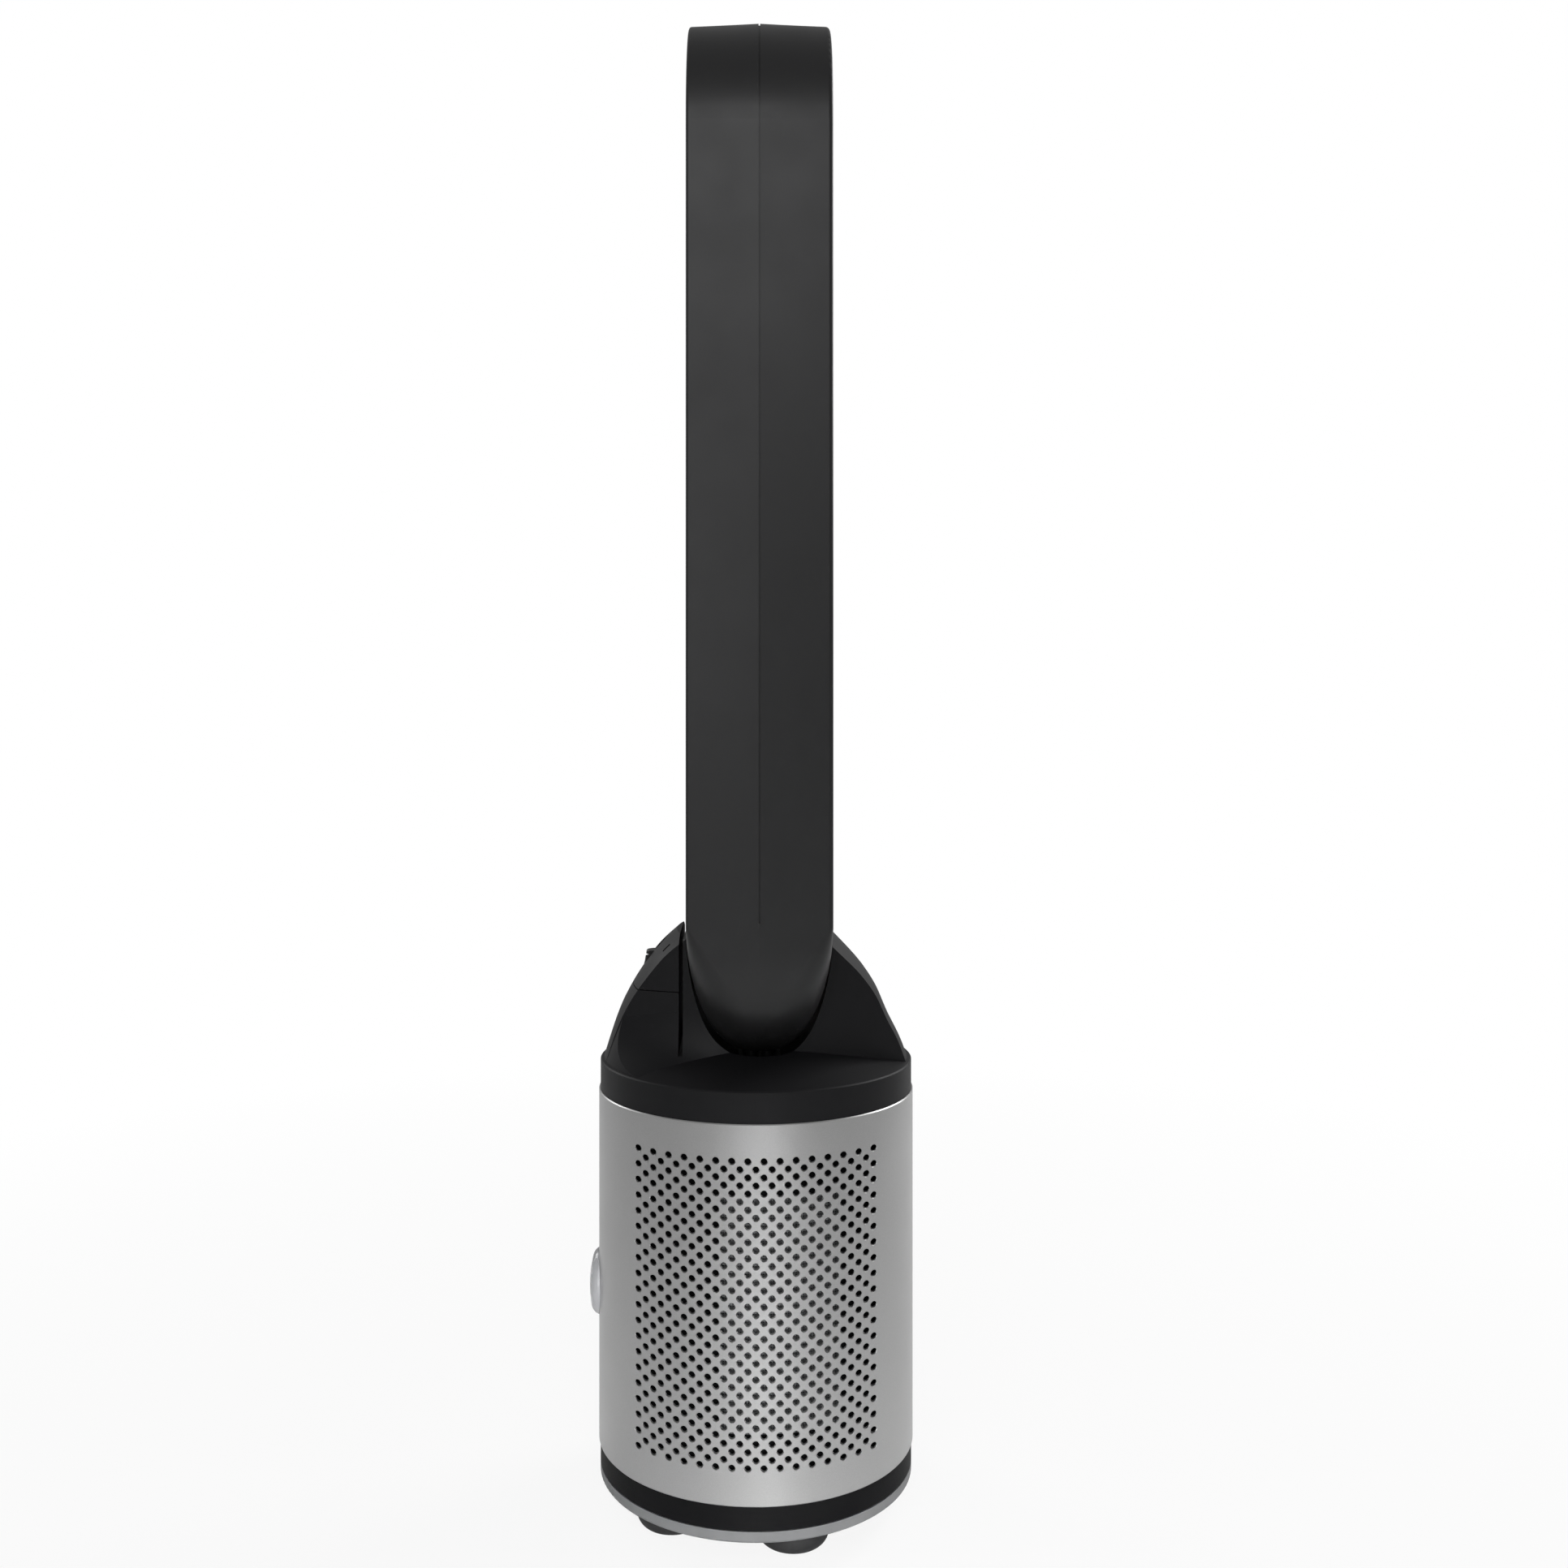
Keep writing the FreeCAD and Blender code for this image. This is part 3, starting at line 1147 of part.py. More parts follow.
def sensor_oval(x, shrink):
    """Rounded slot square to the slope, centred on the wing's surface."""
    half = (SENSOR_LENGTH - SENSOR_WIDTH) / 2
    radius = SENSOR_WIDTH / 2 - shrink
    ends = [Part.makeCylinder(radius, 8, V(0, s * half, -4), V(0, 0, 1)) for s in (-1, 1)]
    bar = block((-radius, radius), (-half, half), (-4, 4))
    oval = joined(ends[0], ends[1], bar)
    oval.rotate(V(0, 0, 0), V(1, 0, 0), 45)
    half_length = wing_profile(FRONT_WING)
    z = SLEEVE_TOP + SENSOR_ABOVE_BAND
    sagitta = FRONT_WING_PLAN_R - math.sqrt(FRONT_WING_PLAN_R ** 2 - x ** 2)
    oval.translate(V(x, sagitta - half_length(z), z))
    return oval


def sensor_windows():
    wall = front_wing().cut(head_cavity())
    sunk = front_wing()
    sunk.translate(V(0, 0.35, -0.35))
    panes = [sensor_oval(x, 0.1).common(wall).common(sunk) for x in (-SENSOR_X, SENSOR_X)]
    return group([biggest(pane) for pane in panes])


def knob_top():
    return SLEEVE_TOP + KNOB_TOP_ABOVE_BAND


def knob_low():
    return knob_top() - KNOB_HEIGHT


def control_knob():
    """Low cap with two turned rings and a dished top, on a stem that slides in the collar."""
    top = knob_top()
    under = top - KNOB_CAP_HEIGHT
    neck_r = KNOB_R - KNOB_RING_DEPTH
    return shifted_to_knob(turned(
        (0, top - KNOB_DISH),
        ((KNOB_R * 0.5, top - KNOB_DISH * 0.7), (KNOB_R - KNOB_EDGE - 0.4, top)),
        *lines((KNOB_R - KNOB_EDGE, top), (KNOB_R - 0.2, top - 0.7), (neck_r - 0.1, top - 0.9)),
        *lines((neck_r - 0.1, top - 1.1), (KNOB_R - 0.1, top - 1.3), (KNOB_R - 0.1, top - 1.6)),
        *lines((neck_r, top - 1.8), (neck_r, top - 2.0), (KNOB_R, top - 2.2)),
        *lines((KNOB_R, under + 0.2), (KNOB_R - 0.2, under)),
        *lines((KNOB_STEM_R, under), (KNOB_STEM_R, knob_low()), (0, knob_low())),
    ))


def shifted_to_knob(shape):
    shape.translate(V(0, KNOB_Y, 0))
    return shape


def encoder_shaft():
    low = knob_low()
    return disc(ENCODER_SHAFT_R, low - 7.0, low, 0, KNOB_Y)


def encoder_plunger():
    low = knob_low() - 7.0
    return ring(ENCODER_SHAFT_R + 1.2, 0.9, low - 4.0, low - RUNNING_FIT, 0, KNOB_Y)


def encoder_body():
    """Push-and-turn switch under the knob; its well takes the plunger."""
    top = knob_low() - 7.6
    low = top - 10.0
    half = ENCODER_BODY / 2
    case = block((-half, half), (KNOB_Y - half, KNOB_Y + half), (low, top))
    well = disc(ENCODER_SHAFT_R + 1.2 + FIT, top - 3.4 - KNOB_TRAVEL - 0.4, top + 1, 0, KNOB_Y)
    return case.cut(well)


def control_board():
    top = knob_low() - 17.7
    board = block((-24, 24), (KNOB_Y - 9, WING_BACK_Y - 4), (top - 1.6, top))
    chips = [block((x - 4, x + 4), (KNOB_Y - 5, KNOB_Y + 5), (top, top + 1.4)) for x in (-17, 17)]
    return joined(board, *chips)


def funnel_sections(inset):
    """From the round duct to the narrow oval neck."""
    levels = (DUCT_TOP + 1, DUCT_TOP + 14, BOWL_LOW_Z - 4, BOWL_LOW_Z + 7)
    halves_x = (DUCT_R + 3, DUCT_R - 4, NECK_HALF_WIDTH, NECK_HALF_WIDTH)
    halves_y = (DUCT_R + 3, DUCT_R * 0.55, NECK_HALF_DEPTH, NECK_HALF_DEPTH)
    wires = []
    for level, half_x, half_y in zip(levels, halves_x, halves_y):
        y = LOOP_MIDDLE_Y * (level - levels[0]) / (levels[2] - levels[0])
        y = min(y, LOOP_MIDDLE_Y)
        major = V(half_x - inset, y, level)
        curve = Part.Ellipse(major, V(0, y + half_y - inset - 0.001, level), V(0, y, level))
        wires.append(Part.Wire([curve.toShape()]))
    return wires


def air_funnel():
    outer = Part.makeLoft(funnel_sections(0.0), True)
    inner = Part.makeLoft(funnel_sections(NECK_WALL), True)
    return outer.cut(inner)


def loop_foot():
    return BOWL_TOP_Z - BOWL_HEIGHT * BOWL_CUT


def pit_floor():
    return BOWL_TOP_Z - (BOWL_HEIGHT + PIT_GAP + PIT_DEEPER) * BOWL_CUT


def neck_gasket():
    low = pit_floor()
    high = loop_foot()
    outer = ellipse_prism(NECK_HALF_WIDTH + 2, NECK_HALF_DEPTH + 1.6, low, high, LOOP_MIDDLE_Y)
    inner = ellipse_prism(NECK_HALF_WIDTH + 0.05, NECK_HALF_DEPTH + 0.05, low - 1, high + 1, LOOP_MIDDLE_Y)
    return outer.cut(inner)


def cap():
    """Band, ledge, both wings and the pit that the loop's lower end sits in."""
    outer = band_and_ledge().fuse([wings_block(), flare()])
    hollow = band_and_ledge(BAND_WALL).fuse([wings_block(BAND_WALL), flare(BAND_WALL)])
    behind_slot = block((-FAR, FAR), (WING_BACK_Y - WING_WALL, HOUSING_FRONT_Y + FRONT_WALL), (0, FAR * 2))
    slot_zone = block((-FAR, FAR), (-FAR, FAR), (SLEEVE_TOP + SLOT_LOW_ABOVE_BAND - WING_WALL, FAR * 2))
    hollow = hollow.cut(behind_slot.common(slot_zone))
    pit_wall = pit_form(PIT_GAP + PIT_WALL, PIT_DEEPER).common(outer)
    shell = outer.cut(hollow).fuse(pit_wall)
    shell = shell.cut(pit_form(PIT_GAP, PIT_DEEPER))
    shell = shell.cut(front_region(HEAD_SPLIT_ABOVE_BAND - SPLIT_GAP, 150, WING_BACK_Y + 0.1))
    shell = shell.cut([slot_block(), front_region(FRONT_WALL_TOP_ABOVE_BAND, 150, 0)])
    low = pit_floor() - PIT_WALL
    posts = [disc(LOOP_BOSS_R, low, loop_foot() - 0.1, x, y) for x, y in loop_screw_places()]
    bosses = [disc(5, DRUM_TOP, SLEEVE_TOP + 12, x, y) for x, y in cap_screw_places()]
    pilots = [disc(1.5, DRUM_TOP - 1, SLEEVE_TOP + 6, x, y) for x, y in cap_screw_places()]
    ties = [disc(1.7, low - 5, BOWL_LOW_Z + 16, x, y) for x, y in loop_screw_places()]
    shell = shell.fuse(posts + bosses).cut(group([neck_clearance(), front_notch()] + pilots + ties))
    return biggest(shell.removeSplitter())


def front_notch():
    """Shallow parting groove across the band under the front wing."""
    z = SLEEVE_TOP + BAND_NOTCH_ABOVE
    groove = ring(BAND_R + 1, BAND_R - BAND_NOTCH, z - BAND_NOTCH / 2, z + BAND_NOTCH / 2)
    reach = WING_TIP_HALF_WIDTH
    return groove.common(block((-reach, reach), (-BAND_R - 2, 0), (z - 1, z + 1)))


def pit_form(grow, deeper=0.0):
    """The lower end of the loop grown by a gap, as high as the housing reaches."""
    start, steps = loop_section(grow, True)
    wire = outline(lambda x, y: V(x, y, BOWL_TOP_Z), start, *steps)
    legs = Part.Face(wire).extrude(V(0, 0, 60))
    return legs.fuse(bowl(grow, deeper))


def cap_screws():
    low = DRUM_TOP - 3
    shapes = []
    for x, y in cap_screw_places():
        shapes.append(joined(disc(1.5, low - 0.5, SLEEVE_TOP + 6, x, y), disc(3.2, low - 2.2, low, x, y)))
    return group(shapes)


def loop_screws():
    shapes = []
    low = pit_floor() - PIT_WALL
    for x, y in loop_screw_places():
        shapes.append(joined(disc(1.15, low - 1, BOWL_LOW_Z + 14, x, y), disc(3.0, low - 2.2, low, x, y)))
    return group(shapes)


# ---------------------------------------------------------------- all nodes
def nodes():
    right = right_shell()
    filter_panel = right_filter()
    loop_front, loop_rear = loop_shells()
    return {
        "base_plate": base_plate(),
        "glide_ring": glide_ring(),
        "rubber_feet": rubber_feet(),
        "ballast_plate": ballast_plate(),
        "fixed_gear": fixed_gear(),
        "retainer_washer": retainer_washer(),
        "retainer_screws": retainer_screws(),
        "chassis": chassis(),
        "pivot_bush": pivot_bush(),
        "oscillation_motor": oscillation_motor(),
        "oscillation_motor_screws": oscillation_motor_screws(),
        "drive_pinion": drive_pinion(),
        "pinion_shaft": pinion_shaft(),
        "power_inlet": power_inlet(),
        "main_board": main_board(),
        "right_shell": right,
        "left_shell": mirrored(right),
        "front_lens": front_lens(),
        "indicator_board": indicator_board(),
        "inner_drum": inner_drum(),
        "right_filter": filter_panel,
        "left_filter": mirrored(filter_panel),
        "fan_duct": fan_duct(),
        "bell_mouth": bell_mouth(),
        "impeller": impeller(),
        "motor_shaft": motor_shaft(),
        "motor_rotor": motor_rotor(),
        "motor_stator": motor_stator(),
        "motor_bearings": motor_bearings(),
        "diffuser": diffuser(),
        "tail_cone": tail_cone(),
        "duct_dampers": duct_dampers(),
        "cap": cap(),
        "cap_screws": cap_screws(),
        "air_funnel": air_funnel(),
        "neck_gasket": neck_gasket(),
        "control_head": control_head(),
        "sensor_windows": sensor_windows(),
        "control_knob": control_knob(),
        "encoder_shaft": encoder_shaft(),
        "encoder_plunger": encoder_plunger(),
        "encoder_body": encoder_body(),
        "control_board": control_board(),
        "loop_front_shell": loop_front,
        "loop_rear_shell": loop_rear,
        "loop_screws": loop_screws(),
    }


def main():
    os.makedirs("parts", exist_ok=True)
    for name, shape in nodes().items():
        shape.exportStep(f"parts/{name}.step")
        print(f"{name}: solids {len(shape.Solids)}, valid {shape.isValid()}, volume {shape.Volume:.0f}")


main()
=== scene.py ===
"""Looks of a bladeless tower fan: finishes, perforated covers, stage, lamps and camera.

Everything is in metres in the frame of the construction model: +Z up, the fan's front faces -Y and
the swivel axis is the Z axis. Sub-assemblies are classes whose build method makes or dresses their
pieces.
"""
import logging
import math
from dataclasses import dataclass, field
from enum import Enum
from typing import Hashable, Sequence

import bpy
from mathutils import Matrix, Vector


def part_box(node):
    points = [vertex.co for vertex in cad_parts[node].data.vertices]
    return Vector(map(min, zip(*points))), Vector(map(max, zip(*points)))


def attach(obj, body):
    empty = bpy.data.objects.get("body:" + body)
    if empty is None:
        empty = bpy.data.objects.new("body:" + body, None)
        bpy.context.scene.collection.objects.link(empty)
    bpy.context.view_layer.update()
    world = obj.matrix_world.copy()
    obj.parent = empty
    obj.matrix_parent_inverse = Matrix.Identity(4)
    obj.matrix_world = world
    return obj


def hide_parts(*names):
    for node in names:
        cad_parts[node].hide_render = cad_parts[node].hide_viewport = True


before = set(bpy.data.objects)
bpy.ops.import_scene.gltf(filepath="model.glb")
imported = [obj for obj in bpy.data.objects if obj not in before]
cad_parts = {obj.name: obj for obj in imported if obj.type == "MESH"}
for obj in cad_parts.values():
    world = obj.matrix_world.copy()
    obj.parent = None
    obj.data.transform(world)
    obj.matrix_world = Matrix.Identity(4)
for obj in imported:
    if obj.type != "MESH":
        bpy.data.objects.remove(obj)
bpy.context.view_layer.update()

LOG = logging.getLogger("tower_fan")
MM = 0.001
NOISE_LOW, NOISE_HIGH = 0.3, 0.7      # where most of a noise texture's values lie
PLASTIC_IOR = 1.5


def linear(hex_colour: str) -> tuple[float, float, float, float]:
    """Turn an sRGB hex colour into linear RGBA.

    Args:
        hex_colour: six hex digits, with or without a leading hash.

    Returns:
        Linear red, green and blue, and an alpha of 1.
    """
    digits = hex_colour.lstrip("#")
    parts = [int(digits[index:index + 2], 16) / 255 for index in (0, 2, 4)]
    curve = [c / 12.92 if c <= 0.04045 else ((c + 0.055) / 1.055) ** 2.4 for c in parts]
    return (curve[0], curve[1], curve[2], 1.0)


def add_node(
    tree: bpy.types.NodeTree,
    kind: str,
    settings: dict[str, object] | None = None,
    links: dict[str, bpy.types.NodeSocket] | None = None,
) -> bpy.types.Node:
    """Add one shader node with its settings and incoming links.

    Args:
        tree: the node tree to add to.
        kind: the node's Blender type name.
        settings: socket values by socket name, or attributes of the node itself.
        links: output sockets to link, by input socket name.

    Returns:
        The new node.
    """
    node = tree.nodes.new(kind)
    for name, value in (settings or {}).items():
        if name in node.inputs:
            node.inputs[name].default_value = value
        else:
            setattr(node, name, value)
    for name, source in (links or {}).items():
        tree.links.new(source, node.inputs[name])
    return node


def new_material(name: str) -> tuple[bpy.types.Material, bpy.types.NodeTree]:
    """Make an empty node material.

    Args:
        name: the material's name.

    Returns:
        The material and its cleared node tree.
    """
    material = bpy.data.materials.new(name)
    material.use_nodes = True
    material.node_tree.nodes.clear()
    return material, material.node_tree


def per_metre(feature_mm: float) -> float:
    """Noise scale for features of this size, in object space.

    Args:
        feature_mm: size of one grain or ripple in millimetres.

    Returns:
        The scale input of a texture node.
    """
    return 1000.0 / feature_mm


def object_coordinates(tree: bpy.types.NodeTree) -> bpy.types.NodeSocket:
    """Coordinates in metres that stay with the piece.

    Args:
        tree: the node tree to add to.

    Returns:
        The coordinate output.
    """
    return add_node(tree, "ShaderNodeTexCoord").outputs["Object"]


def grain(
    tree: bpy.types.NodeTree, feature_mm: float, detail: float, roughness: float = 0.55
) -> bpy.types.NodeSocket:
    """Fine irregular pattern.

    Args:
        tree: the node tree to add to.
        feature_mm: size of one grain in millimetres.
        detail: number of finer layers.
        roughness: strength of the finer layers.

    Returns:
        A factor between 0 and 1.
    """
    settings = {"Scale": per_metre(feature_mm), "Detail": detail, "Roughness": roughness}
    node = add_node(tree, "ShaderNodeTexNoise", settings, {"Vector": object_coordinates(tree)})
    return node.outputs["Fac"]


def remap(
    tree: bpy.types.NodeTree, source: bpy.types.NodeSocket, low: float, high: float
) -> bpy.types.NodeSocket:
    """Spread a factor's middle range over two values.

    Args:
        tree: the node tree to add to.
        source: a factor between 0 and 1.
        low: result at the low end of that range.
        high: result at its high end.

    Returns:
        The remapped value.
    """
    settings = {"From Min": NOISE_LOW, "From Max": NOISE_HIGH, "To Min": low, "To Max": high}
    return add_node(tree, "ShaderNodeMapRange", settings, {"Value": source}).outputs["Result"]


def two_tone(
    tree: bpy.types.NodeTree, factor: bpy.types.NodeSocket, first: str, second: str
) -> bpy.types.NodeSocket:
    """Blend two sRGB colours by a factor.

    Args:
        tree: the node tree to add to.
        factor: 0 gives the first colour and 1 the second.
        first: sRGB hex colour.
        second: sRGB hex colour.

    Returns:
        The colour output.
    """
    mix = add_node(tree, "ShaderNodeMix", {"data_type": "RGBA"})
    mix.inputs[6].default_value = linear(first)
    mix.inputs[7].default_value = linear(second)
    tree.links.new(factor, mix.inputs[0])
    return mix.outputs[2]


def bump(
    tree: bpy.types.NodeTree, height: bpy.types.NodeSocket, depth_mm: float, strength: float = 1.0
) -> bpy.types.NodeSocket:
    """Turn a height pattern into a surface normal.

    Args:
        tree: the node tree to add to.
        height: pattern between 0 and 1.
        depth_mm: height difference of the pattern in millimetres.
        strength: share of the effect.

    Returns:
        The normal output.
    """
    settings = {"Strength": strength, "Distance": depth_mm * MM}
    return add_node(tree, "ShaderNodeBump", settings, {"Height": height}).outputs["Normal"]


def surface(
    tree: bpy.types.NodeTree,
    settings: dict[str, object],
    links: dict[str, bpy.types.NodeSocket],
) -> None:
    """Close a material with the standard shader.

    Args:
        tree: the node tree to add to.
        settings: values set on the shader's own sockets.
        links: patterns linked to its sockets.
    """
    shader = add_node(tree, "ShaderNodeBsdfPrincipled", settings, links)
    add_node(tree, "ShaderNodeOutputMaterial", links={"Surface": shader.outputs["BSDF"]})


@dataclass(frozen=True)
class MetallicLacquer:
    """Sprayed lacquer with aluminium flake over moulded ABS.

    The flake turns the base grey into a soft sheen that follows the light, and the clear layer over
    it adds a thin sharper gloss; a very shallow orange peel keeps that gloss from looking like
    glass. Real flake is some 0.03 mm, too fine to show, so it is drawn as a coarser mottle.
    """

    name: str
    dark: str
    light: str
    roughness: float
    metallic: float
    flake_mm: float = 0.5
    peel_mm: float = 2.2
    coat: float = 0.25
    gloss: float = 0.5
    coat_roughness: float = 0.22
    peel_depth_mm: float = 0.004
    cloud_mm: float = 45.0
    roughness_drift: float = 0.03

    def build(self) -> bpy.types.Material:
        """Make the material.

        Returns:
            The new material.
        """
        material, tree = new_material(self.name)
        flake = grain(tree, self.flake_mm, 3.0, 0.7)
        colour = two_tone(tree, remap(tree, flake, 0.0, 1.0), self.dark, self.light)
        cloud = grain(tree, self.cloud_mm, 2.0)
        drift = self.roughness_drift
        rough = remap(tree, cloud, self.roughness - drift, self.roughness + drift)
        peel = bump(tree, grain(tree, self.peel_mm, 1.0), self.peel_depth_mm)
        settings = {
            "Metallic": self.metallic,
            "IOR": PLASTIC_IOR,
            "Specular IOR Level": self.gloss,
            "Coat Weight": self.coat,
            "Coat Roughness": self.coat_roughness,
        }
        surface(tree, settings, {"Base Color": colour, "Roughness": rough, "Normal": peel})
        return material


@dataclass(frozen=True)
class MouldedPlastic:
    """Plastic as it leaves a spark-eroded mould: an even fine grain that breaks up reflections."""

    name: str
    dark: str
    light: str
    roughness: float
    grain_mm: float = 0.6
    depth_mm: float = 0.02
    gloss: float = 0.5
    cloud_mm: float = 18.0
    roughness_drift: float = 0.05

    def build(self) -> bpy.types.Material:
        """Make the material.

        Returns:
            The new material.
        """
        material, tree = new_material(self.name)
        fine = grain(tree, self.grain_mm, 2.0)
        cloud = remap(tree, grain(tree, self.cloud_mm, 3.0), 0.0, 1.0)
        colour = two_tone(tree, cloud, self.dark, self.light)
        drift = self.roughness_drift
        rough = remap(tree, fine, self.roughness - drift, self.roughness + drift)
        normal = bump(tree, fine, self.depth_mm)
        settings = {"IOR": PLASTIC_IOR, "Specular IOR Level": self.gloss}
        surface(tree, settings, {"Base Color": colour, "Roughness": rough, "Normal": normal})
        return material


@dataclass(frozen=True)
class MouldedRubber:
    """Compression-moulded rubber: near black, matt, with a faint bloom that greys it unevenly."""

    name: str
    dark: str
    light: str
    bloom_mm: float = 6.0
    grain_mm: float = 0.8
    depth_mm: float = 0.03
    ior: float = 1.52
    roughness: float = 0.72

    def build(self) -> bpy.types.Material:
        """Make the material.

        Returns:
            The new material.
        """
        material, tree = new_material(self.name)
        bloom = remap(tree, grain(tree, self.bloom_mm, 4.0), 0.0, 1.0)
        colour = two_tone(tree, bloom, self.dark, self.light)
        normal = bump(tree, grain(tree, self.grain_mm, 2.0), self.depth_mm)
        settings = {"IOR": self.ior, "Roughness": self.roughness}
        surface(tree, settings, {"Base Color": colour, "Normal": normal})
        return material


@dataclass(frozen=True)
class WorkedSteel:
    """Steel with the marks of how it was worked: streaks along one axis change its gloss."""

    name: str
    dark: str
    light: str
    roughness: float
    streak: tuple[float, float, float] = (1.0, 1.0, 12.0)
    streak_mm: float = 1.5
    depth_mm: float = 0.01
    smoother: float = 0.06
    rougher: float = 0.08

    def build(self) -> bpy.types.Material:
        """Make the material.

        Returns:
            The new material.
        """
        material, tree = new_material(self.name)
        scaled = add_node(
            tree, "ShaderNodeMapping", {"Scale": self.streak}, {"Vector": object_coordinates(tree)}
        ).outputs["Vector"]
        settings = {"Scale": per_metre(self.streak_mm), "Detail": 3.0}
        streaks = add_node(tree, "ShaderNodeTexNoise", settings, {"Vector": scaled}).outputs["Fac"]
        colour = two_tone(tree, remap(tree, streaks, 0.0, 1.0), self.dark, self.light)
        rough = remap(tree, streaks, self.roughness - self.smoother, self.roughness + self.rougher)
        normal = bump(tree, streaks, self.depth_mm)
        links = {"Base Color": colour, "Roughness": rough, "Normal": normal}
        surface(tree, {"Metallic": 1.0}, links)
        return material


@dataclass(frozen=True)
class WovenMesh:
    """Plain-woven polyester screen: threads cross each other and leave dark square gaps."""

    name: str
    thread: str
    gap: str
    pitch_mm: float
    depth_mm: float = 0.15
    wobble: float = 0.15
    roughness: float = 0.75

    def build(self) -> bpy.types.Material:
        """Make the material.

        Returns:
            The new material.
        """
        material, tree = new_material(self.name)
        where = object_coordinates(tree)
        waves = []
        for direction in ("Y", "Z"):
            settings = {
                "wave_type": "BANDS",
                "bands_direction": direction,
                "Scale": per_metre(self.pitch_mm) / math.tau * 2.0,
                "Distortion": self.wobble,
            }
            wave = add_node(tree, "ShaderNodeTexWave", settings, {"Vector": where})
            waves.append(wave.outputs["Fac"])
        weave = add_node(tree, "ShaderNodeMath", {"operation": "MAXIMUM"})
        tree.links.new(waves[0], weave.inputs[0])
        tree.links.new(waves[1], weave.inputs[1])
        colour = two_tone(tree, weave.outputs[0], self.gap, self.thread)
        normal = bump(tree, weave.outputs[0], self.depth_mm)
        settings = {"Roughness": self.roughness, "IOR": PLASTIC_IOR}
        surface(tree, settings, {"Base Color": colour, "Normal": normal})
        return material


@dataclass(frozen=True)
class CircuitBoard:
    """Glass-epoxy board under solder mask: green with slightly darker copper tracks beneath."""

    name: str
    mask: str
    track: str
    cell_mm: float = 3.0
    depth_mm: float = 0.02
    roughness: float = 0.35

    def build(self) -> bpy.types.Material:
        """Make the material.

        Returns:
            The new material.
        """
        material, tree = new_material(self.name)
        settings = {"Scale": per_metre(self.cell_mm), "feature": "F1", "distance": "MANHATTAN"}
        links = {"Vector": object_coordinates(tree)}
        cells = add_node(tree, "ShaderNodeTexVoronoi", settings, links).outputs["Distance"]
        colour = two_tone(tree, remap(tree, cells, 0.0, 1.0), self.track, self.mask)
        normal = bump(tree, cells, self.depth_mm)
        settings = {"Roughness": self.roughness, "IOR": PLASTIC_IOR}
        surface(tree, settings, {"Base Color": colour, "Normal": normal})
        return material


@dataclass(frozen=True)
class PolishedPlastic:
    """Polycarbonate from a polished mould: clear gloss with hardly any texture."""

    name: str
    dark: str
    light: str
    roughness: float
    cloud_mm: float = 9.0
    wipe_mm: float = 1.5
    roughness_drift: float = 0.03
    ior: float = 1.58
    coat: float = 0.3

    def build(self) -> bpy.types.Material:
        """Make the material.

        Returns:
            The new material.
        """
        material, tree = new_material(self.name)
        cloud = remap(tree, grain(tree, self.cloud_mm, 2.0), 0.0, 1.0)
        colour = two_tone(tree, cloud, self.dark, self.light)
        wipe = grain(tree, self.wipe_mm, 2.0)
        drift = self.roughness_drift
        rough = remap(tree, wipe, self.roughness - drift, self.roughness + drift)
        settings = {"IOR": self.ior, "Coat Weight": self.coat}
        surface(tree, settings, {"Base Color": colour, "Roughness": rough})
        return material


